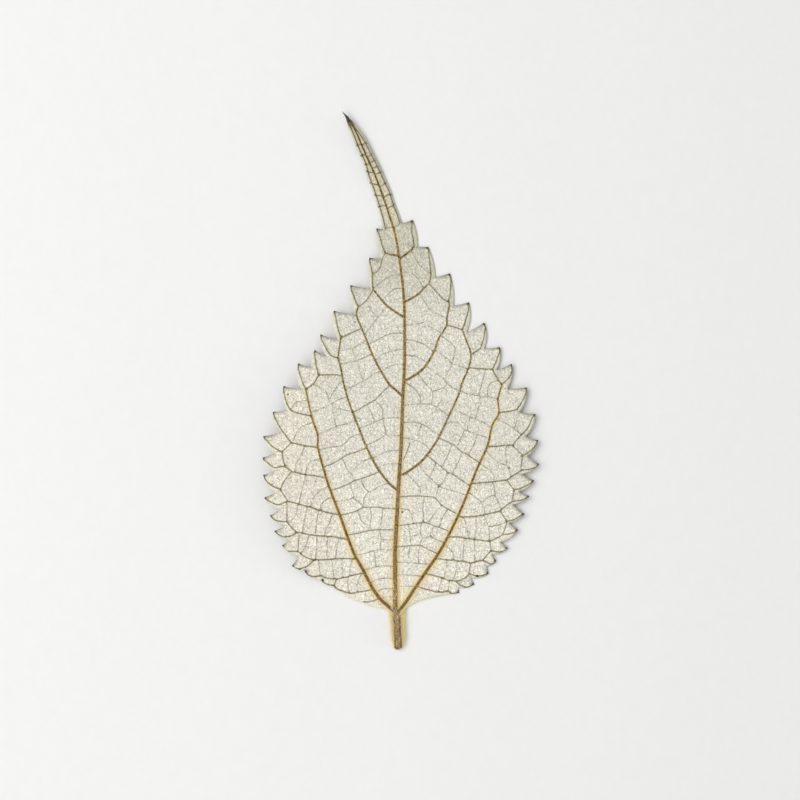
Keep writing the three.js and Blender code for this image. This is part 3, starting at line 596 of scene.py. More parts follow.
def blade_places(drawing):
    """Every mesh point of the blade: its outline first, then rows along the veins, then an even lattice."""
    taken = {}
    cell = 0.06

    def free(place, gap):
        cx, cy = int(place.x // cell), int(place.y // cell)
        reach = int(gap // cell) + 1
        for ix in range(cx - reach, cx + reach + 1):
            for iy in range(cy - reach, cy + reach + 1):
                for other in taken.get((ix, iy), ()):
                    if (other - place).length < gap:
                        return False
        return True

    places = []

    def take(place):
        places.append(place)
        taken.setdefault((int(place.x // cell), int(place.y // cell)), []).append(place)

    for row in drawing.outline:
        take(row[0])
    for i, row in enumerate(drawing.outline):
        if row[1] == "stalk":
            continue
        inset = row[0] - drawing.outward[i] * RIM_WIDTH
        if drawing.depth(inset)[0] > RIM_WIDTH * 0.7 and free(inset, RIM_GAP):
            take(inset)
    for x, y, radius in SPOTS:
        for ring, count in ((0, 1), (0.5, 6), (1.0, 9)):
            for k in range(count):
                angle = 2 * math.pi * k / count
                place = Vector((x + ring * radius * math.cos(angle), y + ring * radius * math.sin(angle)))
                if drawing.depth(place)[0] > SPOT_DEPTH and free(place, SPOT_GAP):
                    take(place)
    for kind, route in drawing.routes:
        widths = VEIN_KINDS[kind][0]
        offsets = {"midrib": (0, -0.5, 0.5, -1, 1), "basal": (0, -0.5, 0.5, -1, 1),
                   "side": (0, -0.55, 0.55, -1, 1)}.get(kind, (0, -1, 1))
        last = len(route) - 1
        for i, middle in enumerate(route):
            if middle.y < STALK_TOP:
                continue
            along = (route[min(i + 1, last)] - route[max(i - 1, 0)]).normalized()
            aside = Vector((-along.y, along.x)) * at(widths, i / last)
            for offset in offsets:
                place = middle + aside * offset
                if drawing.depth(place)[0] > VEIN_DEPTH and free(place, VEIN_GAP):
                    take(place)
    for k in range(STALK_ROWS):
        y = LOWEST_STALK_ROW + STALK_ROW_STEP * k
        axis, half = stalk_span(y)
        for offset in (0, -0.45, 0.45, -0.78, 0.78, -0.94, 0.94):
            place = Vector((axis + offset * half, y))
            if drawing.depth(place)[0] > STALK_DEPTH and free(place, STALK_GAP):
                take(place)
    step_y = LATTICE_STEP * math.sqrt(0.75)
    for iy in range(int(LATTICE_LENGTH / step_y)):
        for ix in range(int(LATTICE_WIDTH / LATTICE_STEP)):
            x = LATTICE_LEFT + (ix + 0.5 * (iy % 2)) * LATTICE_STEP
            place = Vector((x, LATTICE_FOOT + iy * step_y))
            if drawing.depth(place)[0] > LATTICE_DEPTH and free(place, LATTICE_GAP) and place.y > STALK_TOP:
                take(place)
    return places


SKIN_MARKS = ("vein", "brown", "halo", "dark", "pale", "burnt", "core")


def make_leaf(shift):
    """The blade, its veins and stalk as one closed skin. Slot 0 is the felted side, slot 1 the smooth one."""
    drawing = Drawing()
    places = blade_places(drawing)
    count = len(drawing.outline)
    ring = [(i, (i + 1) % count) for i in range(count)]
    flat = delaunay_2d_cdt(places, ring, [], 1, 1e-5)
    skin = bmesh.new()
    marks = {name: skin.verts.layers.float.new(name) for name in SKIN_MARKS}
    low = skin.verts.layers.float.new("low")
    high = skin.verts.layers.float.new("high")
    made = []
    for place in flat[0]:
        place = Vector(place)
        vert = skin.verts.new((place.x, place.y, 0))
        made.append(vert)
        depth, nearest = drawing.depth(place)
        _, _, dark, pale = drawing.outline[nearest]
        ridge, strength, brown = drawing.vein(place)
        bed = lift(place.x, place.y)
        ripple = 0.05 * noise.noise(Vector((place.x * 0.35, place.y * 0.35, 4.0)))
        ripple += 0.03 * noise.noise(Vector((place.x * 1.1, place.y * 1.1, 9.0)))
        ripple *= ease(depth, 0.0, 1.5)
        top = bed + BLADE_THICKNESS + ridge + ripple
        bottom = bed + min(0.16, 0.5 * ridge) + max(0.0, ripple)
        if depth < ON_RIM:
            top, bottom = bed + RIM_HIGH * BLADE_THICKNESS, bed + RIM_LOW * BLADE_THICKNESS
        stalk = 1 - ease(place.y, STALK_TOP, STALK_TOP + STALK_BLEND)
        core = 0.0
        if stalk > 0:
            roundness, u = stalk_shape(place)
            roundness *= 0.35 + 0.65 * ease(place.y, STALK_FOOT, STALK_FOOT_END)
            top = lerp(top, STALK_CENTRE + STALK_SIDE + STALK_SWELL * roundness, stalk)
            bottom = lerp(bottom, STALK_CENTRE - STALK_SIDE - STALK_SWELL * roundness, stalk)
            core = stalk * (0.8 + 0.2 * ease(u, 0.4, 0.8)) * (1 - ease(u, 1.02, 1.3))
            strength *= 1 - core
        vert[high], vert[low] = top, bottom
        vert[marks["vein"]] = strength
        vert[marks["brown"]] = brown
        vert[marks["halo"]] = max(drawing.halo(place), stalk)
        # The dark mark is the margin's own dark line with painted shade added on the side away from the
        # light.
        vert[marks["dark"]] = dark * (1 - ease(depth, 0.04, 0.3))
        vert[marks["pale"]] = pale * (1 - ease(depth, 0.22, 0.5)) * (1 - stalk)
        vert[marks["burnt"]] = drawing.burnt(place)
        vert[marks["core"]] = core
    for face in flat[2]:
        skin.faces.new([made[i] for i in face])
    # By a sharp point the depth test lets through a few places just outside, which no face uses.
    strays = [vert for vert in made if not vert.link_faces]
    made = [vert for vert in made if vert.link_faces]
    bmesh.ops.delete(skin, geom=strays, context="VERTS")
    for face in skin.faces:
        face.normal_update()
        if face.normal.z < 0:
            face.normal_flip()
    felted = list(skin.faces)
    under = bmesh.ops.extrude_face_region(skin, geom=felted)["geom"]
    below = [g for g in under if isinstance(g, bmesh.types.BMVert)]
    for vert in made:
        vert.co.z = vert[high]
    for vert in below:
        vert.co.z = vert[low]
    for face in under:
        if isinstance(face, bmesh.types.BMFace):
            face.material_index = 1
    for face in skin.faces:
        face.smooth = True
    bmesh.ops.recalc_face_normals(skin, faces=skin.faces)
    bmesh.ops.scale(skin, vec=(MM, MM, MM), verts=skin.verts)
    bmesh.ops.translate(skin, vec=shift, verts=skin.verts)
    mesh = bpy.data.meshes.new("leaf_skin")
    skin.to_mesh(mesh)
    skin.free()
    mesh.attributes.remove(mesh.attributes["low"])
    mesh.attributes.remove(mesh.attributes["high"])
    return drawing, mesh


# ---------------------------------------------------------------- hairs

HAIR_RADIUS = 0.024
HAIR_SEED = 7
HAIR_CLEARANCE = 0.22
TUFT_STEP, TUFT_HAIRS = 0.4, 42
LOWEST_TUFT, STALK_HAIR_TOP = -39.95, -34.0
TUFT_ROWS = int((STALK_HAIR_TOP + 40.0) / TUFT_STEP)
MARGIN_HAIRS, MARGIN_HAIR_TOP = 3, -31.5
CREST_HAIRS, CREST_FOOT, CREST_TOP = 110, -39.8, -30.0
VEIN_HAIRS = 10
# The shortest and longest hair in each place, before any shortening.
STALK_LENGTHS, MARGIN_LENGTHS = (0.55, 1.15), (0.22, 0.5)
CREST_LENGTHS, VEIN_LENGTHS = (0.3, 0.6), (0.25, 0.5)


def hair_shapes():
    """A few bent, tapered hairs, each one unit long along +Z, drawn out of a three-sided ring."""
    shapes = []
    for bend in (0.1, 0.28, -0.2):
        hair = bmesh.new()
        bmesh.ops.create_circle(hair, cap_ends=True, segments=3, radius=1.0)
        tip = list(hair.faces)
        before, wide = 0.0, 1.0
        for level, thin in ((0.35, 0.85), (0.7, 0.6), (1.0, 0.2)):
            grown = bmesh.ops.extrude_face_region(hair, geom=tip)["geom"]
            if before:
                bmesh.ops.delete(hair, geom=tip, context="FACES_ONLY")
            ring = [g for g in grown if isinstance(g, bmesh.types.BMVert)]
            tip = [g for g in grown if isinstance(g, bmesh.types.BMFace)]
            bmesh.ops.scale(hair, vec=(thin / wide, thin / wide, 1), verts=ring)
            bmesh.ops.translate(hair, vec=(0, 0, level - before), verts=ring)
            before, wide = level, thin
        for vert in hair.verts:
            vert.co.y += bend * vert.co.z ** 2 / HAIR_RADIUS * 0.5
        bmesh.ops.recalc_face_normals(hair, faces=hair.faces)
        mesh = bpy.data.meshes.new("hair_shape")
        hair.to_mesh(mesh)
        hair.free()
        shapes.append(mesh)
    return shapes


class HairCoat:
    """Gathers hairs in small bundles, so that planting one stays quick, and joins the bundles at the end."""

    BUNDLE = 120

    def __init__(self):
        self.dice = random.Random(HAIR_SEED)
        self.shapes = hair_shapes()
        self.bundle = bmesh.new()
        self.planted = 0
        self.done = []

    def plant(self, place, heading, length):
        turn = heading.to_track_quat("Z", "Y").to_matrix().to_4x4()
        radius = HAIR_RADIUS * self.dice.uniform(0.75, 1.2)
        spin = Matrix.Rotation(self.dice.uniform(0, 2 * math.pi), 4, "Z")
        shape = Matrix.Diagonal((radius, radius, length, 1))
        before = len(self.bundle.verts)
        self.bundle.from_mesh(self.dice.choice(self.shapes))
        self.bundle.verts.ensure_lookup_table()
        bmesh.ops.transform(self.bundle, matrix=Matrix.Translation(place) @ turn @ shape @ spin,
                            verts=self.bundle.verts[before:])
        self.planted += 1
        if self.planted % self.BUNDLE == 0:
            self.close_bundle()

    def close_bundle(self):
        mesh = bpy.data.meshes.new("hair_bundle")
        self.bundle.to_mesh(mesh)
        self.bundle.free()
        self.done.append(mesh)
        self.bundle = bmesh.new()

    def finish(self, shift):
        self.close_bundle()
        coat = bmesh.new()
        for mesh in self.done:
            coat.from_mesh(mesh)
        bmesh.ops.scale(coat, vec=(MM, MM, MM), verts=coat.verts)
        bmesh.ops.translate(coat, vec=shift, verts=coat.verts)
        whole = bpy.data.meshes.new("leaf_hairs")
        coat.to_mesh(whole)
        coat.free()
        self.bundle.free()
        for mesh in self.done + self.shapes:
            bpy.data.meshes.remove(mesh)
        return whole


def make_hairs(drawing, shift):
    """Straw-coloured hairs: a fringe down the stalk's sides, shorter ones on its crest and beside veins."""
    coat = HairCoat()
    dice = coat.dice
    for k in range(TUFT_ROWS * 2):
        side = 1 if k % 2 else -1
        tuft_y = LOWEST_TUFT + TUFT_STEP * (k // 2 + 0.5 * (k % 2)) + dice.uniform(-0.05, 0.05)
        rise = dice.uniform(0.65, 0.95)
        for _ in range(round(TUFT_HAIRS * (1 - ease(tuft_y, -35.0, STALK_HAIR_TOP)))):
            y = tuft_y + dice.gauss(0, 0.035)
            axis, half = stalk_span(y)
            tilt = dice.gauss(-0.1, 0.38)
            out = Vector((side * math.cos(tilt), 0, math.sin(tilt)))
            place = Vector((axis + out.x * half * 0.95, y, STALK_CENTRE + out.z * 0.45))
            heading = (out + Vector((0, rise + dice.gauss(0, 0.12), 0))).normalized()
            length = dice.uniform(*STALK_LENGTHS) * (0.45 + 0.55 * ease(y, -40.1, -38.6))
            heading.z = max(heading.z, (HAIR_CLEARANCE - place.z) / length)
            coat.plant(place, heading, length)
    for (place, kind, _, _), outward in zip(drawing.outline, drawing.outward):
        if kind != "base" or place.y > MARGIN_HAIR_TOP:
            continue
        for _ in range(MARGIN_HAIRS):
            out = outward + Vector((dice.gauss(0, 0.5), dice.gauss(0, 0.5)))
            foot = place - outward * dice.uniform(0.05, 0.4)
            height = lift(foot.x, foot.y) + dice.uniform(0.12, 0.26)
            heading = Vector((out.x, out.y, dice.uniform(-0.1, 0.35))).normalized()
            length = dice.uniform(*MARGIN_LENGTHS)
            heading.z = max(heading.z, (HAIR_CLEARANCE - height) / length)
            coat.plant(Vector((foot.x, foot.y, height)), heading, length)
    for _ in range(CREST_HAIRS):
        y = dice.uniform(CREST_FOOT, CREST_TOP)
        axis = stalk_span(y)[0] if y < -35 else -0.95
        place = Vector((axis + dice.uniform(-0.3, 0.3), y, 0.98 if y < -35.4 else 0.74))
        heading = Vector((dice.uniform(-0.8, 0.8), dice.uniform(0.5, 1.0), dice.uniform(0.05, 0.25)))
        coat.plant(place, heading.normalized(), dice.uniform(*CREST_LENGTHS))
    for kind, route in drawing.routes:
        if kind not in HALOED:
            continue
        widths, heights = VEIN_KINDS[kind][:2]
        last = len(route) - 1
        for i, middle in enumerate(route[:-1]):
            if middle.y < STALK_TOP:
                continue
            along = (route[i + 1] - middle).normalized()
            aside = Vector((-along.y, along.x))
            fade = 1 - 0.85 * ease(middle.y, -34, 4 if kind == "midrib" else -10)
            for _ in range(VEIN_HAIRS):
                if dice.random() > fade:
                    continue
                across = dice.choice((-1, 1)) * dice.uniform(0.45, 1.0)
                foot = middle + along * dice.uniform(0, ROUTE_STEP) + aside * across * at(widths, i / last)
                height = lift(foot.x, foot.y) + BLADE_THICKNESS
                height += at(heights, i / last) * (0.5 + 0.5 * math.cos(math.pi * across)) - 0.02
                out = aside * across + along * dice.uniform(-0.1, 0.9)
                heading = Vector((out.x, out.y, dice.uniform(0.02, 0.4))).normalized()
                length = dice.uniform(*VEIN_LENGTHS) * (0.6 + 0.4 * fade)
                coat.plant(Vector((foot.x, foot.y, height)), heading, length)
    return coat.finish(shift)

# ---------------------------------------------------------------- materials


def tint(red, green, blue):
    """A screen colour, 0 to 255, as the linear colour that shaders take."""
    def linear(v):
        v /= 255
        return v / 12.92 if v <= 0.04045 else ((v + 0.055) / 1.055) ** 2.4
    return (linear(red), linear(green), linear(blue), 1.0)


TINTS = {
    "base": tint(244, 240, 226), "middle": tint(234, 230, 217), "shoulder": tint(213, 210, 193),
    "tail": tint(222, 218, 192), "tail_end": tint(200, 191, 163), "tail_line": tint(82, 68, 40),
    "left": tint(243, 238, 222), "right": tint(230, 227, 213), "cream": tint(255, 252, 243),
    "net": tint(170, 167, 147), "halo": tint(240, 210, 140), "rung": tint(132, 127, 103),
    "olive": tint(112, 103, 54), "ochre": tint(147, 125, 69), "brown": tint(114, 87, 40),
    # edge_line_and_shade: the margin's own dark line, deepened by painted shade.
    "edge_line_and_shade": tint(92, 86, 56), "pale_strip": tint(242, 237, 208), "burnt": tint(44, 34, 26),
    "core": tint(124, 92, 50)}


def node(tree, kind, inputs=None, **settings):
    """A new node, with its settings, and its inputs either set or linked."""
    made = tree.nodes.new(kind)
    for key, value in settings.items():
        setattr(made, key, value)
    for key, value in (inputs or {}).items():
        if isinstance(value, bpy.types.NodeSocket):
            tree.links.new(value, made.inputs[key])
        else:
            made.inputs[key].default_value = value
    return made


def mixed(tree, factor, a, b, way="MIX"):
    return node(tree, "ShaderNodeMix", {0: factor, 6: a, 7: b}, data_type="RGBA", blend_type=way).outputs[2]


def maths(tree, operation, a, b=0.0, clamp=False):
    return node(tree, "ShaderNodeMath", {0: a, 1: b}, operation=operation, use_clamp=clamp).outputs[0]


def spread(tree, value, low, high, to_low=0.0, to_high=1.0, way="SMOOTHSTEP"):
    return node(tree, "ShaderNodeMapRange",
                {"Value": value, "From Min": low, "From Max": high, "To Min": to_low, "To Max": to_high},
                interpolation_type=way).outputs["Result"]


def mark(tree, name):
    return node(tree, "ShaderNodeAttribute", attribute_name=name).outputs["Fac"]


def new_group(name, takes, gives):
    group = bpy.data.node_groups.new(name, "ShaderNodeTree")
    for label, kind, value in takes:
        socket = group.interface.new_socket(label, in_out="INPUT", socket_type=kind)
        if value is not None:
            socket.default_value = value
    for label, kind in gives:
        group.interface.new_socket(label, in_out="OUTPUT", socket_type=kind)
    return group, group.nodes.new("NodeGroupInput").outputs, group.nodes.new("NodeGroupOutput").inputs


def noise_at(tree, place, scale, detail=2.0, rough=0.5, offset=None):
    if offset:
        place = node(tree, "ShaderNodeVectorMath", {0: place, 1: offset}, operation="ADD").outputs[0]
    return node(tree, "ShaderNodeTexNoise",
                {"Vector": place, "Scale": scale, "Detail": detail, "Roughness": rough}).outputs[0]


def felt_group():
    """Short matted fibres: a broad mottle, fine flecks, and a height. Place is in millimetres."""
    tree, takes, gives = new_group(
        "matted_fibres",
        [("Place", "NodeSocketVector", None), ("Fibre Size", "NodeSocketFloat", 0.2),
         ("Contrast", "NodeSocketFloat", 1.0)],
        [("Mottle", "NodeSocketFloat"), ("Fleck", "NodeSocketFloat"), ("Height", "NodeSocketFloat")])
    fine = maths(tree, "DIVIDE", 1.0, takes["Fibre Size"])
    wander = node(tree, "ShaderNodeTexNoise", {"Vector": takes["Place"], "Scale": 1.3, "Detail": 1.0})
    bent = node(tree, "ShaderNodeVectorMath",
                {0: wander.outputs["Color"], 1: (1.6, 1.6, 1.6), 2: takes["Place"]},
                operation="MULTIPLY_ADD")
    along, across = [
        node(tree, "ShaderNodeMapping",
             {"Vector": bent.outputs[0], "Scale": (1.0, 0.38, 1.0), "Rotation": (0, 0, turn)}).outputs[0]
        for turn in (0.7, -0.9)]
    strands = noise_at(tree, along, fine, 3.0, 0.62)
    crossing = noise_at(tree, across, fine, 3.0, 0.62, (17.0, 5.0, 2.0))
    tangle = maths(tree, "MAXIMUM", strands, crossing)
    low = maths(tree, "MULTIPLY", takes["Contrast"], -0.5)
    high = maths(tree, "MULTIPLY", takes["Contrast"], 0.5)
    fleck = spread(tree, tangle, 0.46, 0.66, low, high, "LINEAR")
    patches = noise_at(tree, takes["Place"], maths(tree, "MULTIPLY", fine, 0.3), 2.0, 0.6)
    mottle = spread(tree, patches, 0.3, 0.7, low, high, "LINEAR")
    tree.links.new(mottle, gives["Mottle"])
    tree.links.new(fleck, gives["Fleck"])
    tree.links.new(maths(tree, "ADD", tangle, maths(tree, "MULTIPLY", patches, 0.35)), gives["Height"])
    return tree


def network_group():
    """The finest veins: a small net, as a mask that is 1 on its lines. Place is in millimetres."""
    tree, takes, gives = new_group(
        "fine_vein_net",
        [("Place", "NodeSocketVector", None), ("Mesh Size", "NodeSocketFloat", 0.7),
         ("Line", "NodeSocketFloat", 0.12)],
        [("Net", "NodeSocketFloat"), ("Cell", "NodeSocketFloat")])
    wander = node(tree, "ShaderNodeTexNoise", {"Vector": takes["Place"], "Scale": 1.9, "Detail": 2.0})
    bent = node(tree, "ShaderNodeVectorMath",
                {0: wander.outputs["Color"], 1: (0.75, 0.75, 0.0), 2: takes["Place"]},
                operation="MULTIPLY_ADD")
    scale = maths(tree, "DIVIDE", 1.0, takes["Mesh Size"])
    meshes = {"Vector": bent.outputs[0], "Scale": scale, "Randomness": 0.85}
    cells, which = [node(tree, "ShaderNodeTexVoronoi", meshes, voronoi_dimensions="2D", feature=feature)
                    for feature in ("DISTANCE_TO_EDGE", "F1")]
    net = spread(tree, cells.outputs["Distance"], 0.0, takes["Line"], 1.0, 0.0)
    broken = spread(tree, noise_at(tree, takes["Place"], 0.8, 2.0), 0.35, 0.62, 0.35, 1.0)
    tree.links.new(maths(tree, "MULTIPLY", net, broken), gives["Net"])
    split = node(tree, "ShaderNodeSeparateColor", {0: which.outputs["Color"]})
    tree.links.new(split.outputs[0], gives["Cell"])
    return tree


def place_in_mm(tree):
    spot = node(tree, "ShaderNodeTexCoord").outputs["Object"]
    return node(tree, "ShaderNodeVectorMath", {0: spot, 3: 1 / MM}, operation="SCALE").outputs[0]


def new_material(name):
    material = bpy.data.materials.new(name)
    material.use_nodes = True
    tree = material.node_tree
    tree.nodes.clear()
    surface = node(tree, "ShaderNodeBsdfPrincipled")
    node(tree, "ShaderNodeOutputMaterial", {"Surface": surface.outputs[0]})
    return material, tree, surface, place_in_mm(tree)


def use_group(tree, group, **inputs):
    named = {key.replace("_", " "): value for key, value in inputs.items()}
    return node(tree, "ShaderNodeGroup", named, node_tree=group).outputs


def shaded(tree, colour, amount, strength):
    """A colour made lighter and darker by a value centred on nothing."""
    grey = maths(tree, "ADD", 1.0, maths(tree, "MULTIPLY", amount, strength))
    if isinstance(colour, tuple):
        colour = colour[:3]
    return node(tree, "ShaderNodeVectorMath", {0: colour, 3: grey}, operation="SCALE").outputs[0]


def ground_colour(tree, place):
    """The felt's own colour: greenish grey towards the tail, cream towards the base and the left margin."""
    split = node(tree, "ShaderNodeSeparateXYZ", {0: place}).outputs
    drift = maths(tree, "MULTIPLY", maths(tree, "SUBTRACT", noise_at(tree, place, 0.09, 1.0), 0.5), 14.0)
    height = maths(tree, "ADD", split["Y"], drift)
    middle = mixed(tree, spread(tree, height, -30.0, -2.0), TINTS["base"], TINTS["middle"])
    upper = mixed(tree, spread(tree, height, 8.0, 21.0), middle, TINTS["shoulder"])
    tail = mixed(tree, spread(tree, height, 20.0, 27.0), upper, TINTS["tail"])
    tail = mixed(tree, spread(tree, split["Y"], 27.0, 38.0), tail, TINTS["tail_end"])
    left = spread(tree, split["X"], -7.0, -17.0, 0.0, 0.85)
    pale = mixed(tree, left, tail, TINTS["left"])
    right = spread(tree, split["X"], 8.0, 17.0, 0.0, 0.8)
    right = maths(tree, "MULTIPLY", right, spread(tree, height, -24.0, -14.0))
    return mixed(tree, right, pale, TINTS["right"])


def felt_material(felt, net):
    """The side in view: matted white felt over a fine net of veins, brown and olive main veins, dark tips."""
    material, tree, surface, place = new_material("white_felt")
    grain = use_group(tree, felt, Place=place, Fibre_Size=0.17, Contrast=1.0)
    mesh = use_group(tree, net, Place=place, Mesh_Size=0.72, Line=0.15)
    colour = ground_colour(tree, place)
    colour = shaded(tree, colour, maths(tree, "SUBTRACT", mesh["Cell"], 0.5), 0.035)
    colour = mixed(tree, maths(tree, "MULTIPLY", mesh["Net"], 0.58), colour, TINTS["net"])
    colour = shaded(tree, colour, grain["Mottle"], 0.1)
    colour = shaded(tree, colour, grain["Fleck"], 0.64)
    warm = spread(tree, grain["Fleck"], -0.5, 0.5, 0.0, 0.5)
    colour = mixed(tree, warm, colour, TINTS["cream"], "MULTIPLY")
    halo = maths(tree, "MULTIPLY", mark(tree, "halo"), spread(tree, grain["Fleck"], -0.5, 0.5, 0.45, 0.95))
    colour = mixed(tree, halo, colour, TINTS["halo"])
    colour = mixed(tree, maths(tree, "MULTIPLY", mark(tree, "pale"), 0.6), colour, TINTS["pale_strip"])
    ramp = node(tree, "ShaderNodeValToRGB", {0: mark(tree, "brown")})
    stops = ramp.color_ramp.elements
    stops[0].position, stops[0].color = 0.02, TINTS["tail_line"]
    stops[1].position, stops[1].color = 1.0, TINTS["brown"]
    for position, name in ((0.09, "rung"), (0.32, "olive"), (0.68, "ochre")):
        stop = stops.new(position)
        stop.color = TINTS[name]
    height = node(tree, "ShaderNodeSeparateXYZ", {0: place}).outputs["Y"]
    cord = mixed(tree, spread(tree, height, 20.0, 33.0, 0.0, 0.85), ramp.outputs[0], TINTS["tail_line"])
    speck = spread(tree, noise_at(tree, place, 4.2, 1.0, 0.5, (3.0, 8.0, 1.0)), 0.36, 0.64, -0.5, 0.5)
    cord = shaded(tree, cord, maths(tree, "ADD", grain["Fleck"], speck), 0.95)
    off_rung = maths(tree, "ABSOLUTE", maths(tree, "SUBTRACT", mark(tree, "brown"), 0.1))
    faint = spread(tree, off_rung, 0.04, 0.1)
    patchy = spread(tree, noise_at(tree, place, 0.9, 3.0, 0.6), 0.35, 0.65, 0.4, 1.0)
    shown = maths(tree, "MULTIPLY", mark(tree, "vein"), maths(tree, "MAXIMUM", faint, patchy))
    colour = mixed(tree, shown, colour, cord)
    stalk = shaded(tree, TINTS["core"], maths(tree, "ADD", grain["Fleck"], speck), 1.25)
    colour = mixed(tree, mark(tree, "core"), colour, stalk)
    # The edge line: partly the margin's own dark colour, partly painted shade.
    colour = mixed(tree, maths(tree, "MULTIPLY", mark(tree, "dark"), 0.85), colour, TINTS["edge_line_and_shade"])
    scorch = maths(tree, "MULTIPLY", mark(tree, "burnt"), 0.9)
    colour = mixed(tree, scorch, colour, TINTS["burnt"])
    tree.links.new(colour, surface.inputs["Base Color"])
    tree.links.new(spread(tree, grain["Fleck"], -0.5, 0.5, 0.98, 0.82), surface.inputs["Roughness"])
    surface.inputs["Specular IOR Level"].default_value = 0.2
    surface.inputs["Sheen Weight"].default_value = 0.12
    surface.inputs["Sheen Roughness"].default_value = 0.6
    relief = maths(tree, "ADD", grain["Height"], maths(tree, "MULTIPLY", mesh["Net"], 0.35))
    bump = node(tree, "ShaderNodeBump", {"Height": relief, "Strength": 0.45, "Distance": 0.00006})
    tree.links.new(bump.outputs[0], surface.inputs["Normal"])
    return material


def smooth_material(felt, net):
    """The side that lies down: thin, smooth, olive brown, with the veins pressed in and darker."""
    material, tree, surface, place = new_material("smooth_face")
    grain = use_group(tree, felt, Place=place, Fibre_Size=0.5, Contrast=1.0)
    mesh = use_group(tree, net, Place=place, Mesh_Size=0.72, Line=0.1)
    colour = mixed(tree, spread(tree, grain["Mottle"], -0.5, 0.5), tint(134, 127, 92), tint(154, 146, 108))
    colour = mixed(tree, maths(tree, "MULTIPLY", mesh["Net"], 0.4), colour, tint(112, 103, 70))
    colour = mixed(tree, maths(tree, "MULTIPLY", mark(tree, "vein"), 0.8), colour, tint(98, 84, 50))
    colour = mixed(tree, mark(tree, "burnt"), colour, TINTS["burnt"])
    colour = mixed(tree, mark(tree, "core"), colour, TINTS["core"])
    colour = shaded(tree, colour, grain["Fleck"], 0.12)
    tree.links.new(colour, surface.inputs["Base Color"])
    tree.links.new(spread(tree, grain["Mottle"], -0.5, 0.5, 0.5, 0.66), surface.inputs["Roughness"])
    surface.inputs["Specular IOR Level"].default_value = 0.35
    relief = maths(tree, "SUBTRACT", grain["Height"], mesh["Net"])
    bump = node(tree, "ShaderNodeBump", {"Height": relief, "Strength": 0.5, "Distance": 0.00004})
    tree.links.new(bump.outputs[0], surface.inputs["Normal"])
    return material


def hair_material(felt):
    """Dry straw-coloured plant hair."""
    material, tree, surface, place = new_material("straw_hair")
    grain = use_group(tree, felt, Place=place, Fibre_Size=0.4, Contrast=1.0)
    colour = mixed(tree, spread(tree, grain["Fleck"], -0.5, 0.5), tint(255, 232, 160), tint(255, 247, 210))
    tree.links.new(colour, surface.inputs["Base Color"])
    surface.inputs["Roughness"].default_value = 0.6
    surface.inputs["Specular IOR Level"].default_value = 0.3
    surface.inputs["Sheen Weight"].default_value = 0.6
    surface.inputs["Sheen Roughness"].default_value = 0.4
    surface.inputs["Sheen Tint"].default_value = tint(255, 238, 186)
    return material


def paper_material(felt):
    """The pale sheet that the leaf lies on, very faintly mottled."""
    material, tree, surface, place = new_material("pale_sheet")
    grain = use_group(tree, felt, Place=place, Fibre_Size=0.9, Contrast=1.0)
    colour = shaded(tree, tint(243, 242.5, 241), grain["Fleck"], 0.012)
    colour = shaded(tree, colour, grain["Mottle"], 0.01)
    tree.links.new(colour, surface.inputs["Base Color"])
    surface.inputs["Roughness"].default_value = 0.85
    surface.inputs["Specular IOR Level"].default_value = 0.1
    bump = node(tree, "ShaderNodeBump", {"Height": grain["Height"], "Strength": 0.12, "Distance": 0.0001})
    tree.links.new(bump.outputs[0], surface.inputs["Normal"])
    return material


# ---------------------------------------------------------------- the pieces

def new_piece(name, mesh, *materials):
    piece = bpy.data.objects.new(name, mesh)
    bpy.context.scene.collection.objects.link(piece)
    for material in materials:
        mesh.materials.append(material)
    return piece


cad_low, cad_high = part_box("leaf")
edge = [row[0] for row in outline_points()]
drawn_x = (min(p.x for p in edge) + max(p.x for p in edge)) / 2
drawn_y = (min(p.y for p in edge) + max(p.y for p in edge)) / 2
cad_middle = (cad_low + cad_high) / 2
leaf_shift = Vector((cad_middle.x - drawn_x * MM, cad_middle.y - drawn_y * MM, cad_low.z))

felt = felt_group()
net = network_group()
drawing, skin = make_leaf(leaf_shift)
leaf = new_piece("leaf_blade_and_stalk", skin, felt_material(felt, net), smooth_material(felt, net))
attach(leaf, "root")
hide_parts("leaf")

hairs = new_piece("leaf_hairs", make_hairs(drawing, leaf_shift), hair_material(felt))
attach(hairs, "root")

# ---------------------------------------------------------------- the sheet, lights and camera

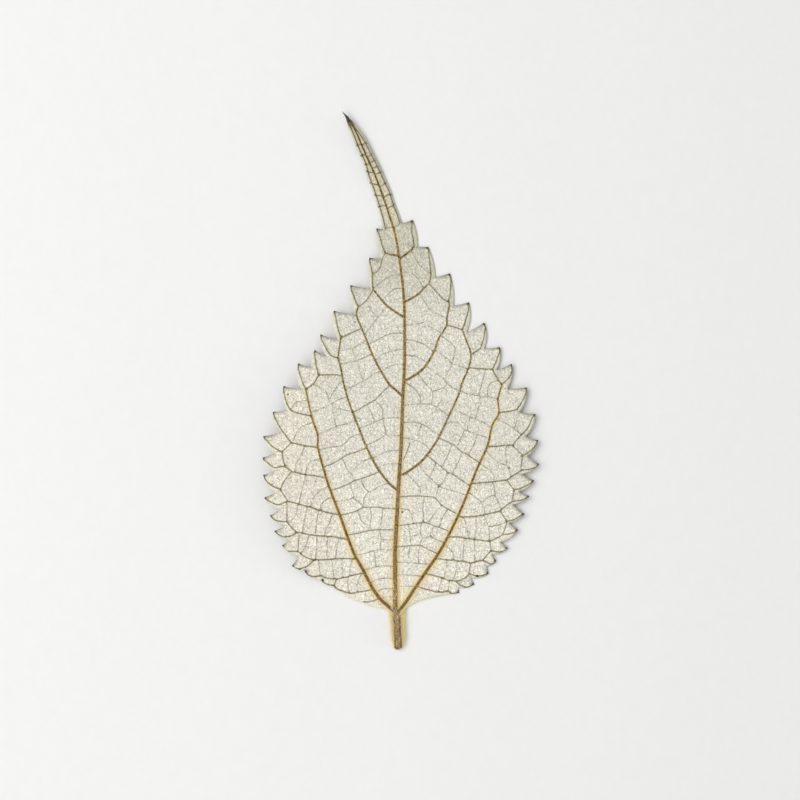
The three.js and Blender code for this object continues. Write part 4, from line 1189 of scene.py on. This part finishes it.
FLOOR_SIZE, FLOOR_GAP = 1.6, 0.00002
ground = bmesh.new()
bmesh.ops.create_grid(ground, x_segments=8, y_segments=8, size=FLOOR_SIZE / 2)
bmesh.ops.translate(ground, vec=(0, 0, cad_low.z - FLOOR_GAP), verts=ground.verts)
floor_mesh = bpy.data.meshes.new("pale_sheet")
ground.to_mesh(floor_mesh)
ground.free()
floor = new_piece("pale_sheet", floor_mesh, paper_material(felt))


def soft_light(name, place, size, power):
    """A round soft light that looks at the origin."""
    lamp = bpy.data.lights.new(name, "AREA")
    lamp.shape = "DISK"
    lamp.size, lamp.energy = size, power
    lit = bpy.data.objects.new(name, lamp)
    lit.location = place
    lit.rotation_euler = (-Vector(place)).to_track_quat("-Z", "Y").to_euler()
    bpy.context.scene.collection.objects.link(lit)


def low_light(name, heading, elevation, spread_angle, power):
    """A broad far light, coming from `heading` degrees anticlockwise of +X, low over the table."""
    lamp = bpy.data.lights.new(name, "SUN")
    lamp.angle, lamp.energy = math.radians(spread_angle), power
    lit = bpy.data.objects.new(name, lamp)
    h, e = math.radians(heading), math.radians(elevation)
    towards = Vector((math.cos(h) * math.cos(e), math.sin(h) * math.cos(e), math.sin(e)))
    lit.rotation_euler = towards.to_track_quat("Z", "Y").to_euler()
    bpy.context.scene.collection.objects.link(lit)


soft_light("window", (-0.34, 0.09, 0.56), 0.55, 2.5)
soft_light("low_window", (-0.25, -0.45, 0.5), 0.4, 0.58)
low_light("far_window", -8, 12, 14, 0.4)

world = bpy.data.worlds.new("studio")
world.use_nodes = True
background = world.node_tree.nodes["Background"].inputs
background["Color"].default_value = (0.985, 0.99, 1.0, 1.0)
background["Strength"].default_value = 0.47
scene = bpy.context.scene
scene.world = world
scene.view_settings.view_transform = "Standard"

CAMERA_PLACE = (-0.00015, -0.002943, 1 / 3)
camera_data = bpy.data.cameras.new("camera")
camera_data.sensor_width = 36.0
camera_data.lens = 100.0
camera_data.clip_start, camera_data.clip_end = 0.01, 10.0
camera = bpy.data.objects.new("camera", camera_data)
camera.location = CAMERA_PLACE
scene.collection.objects.link(camera)
scene.camera = camera
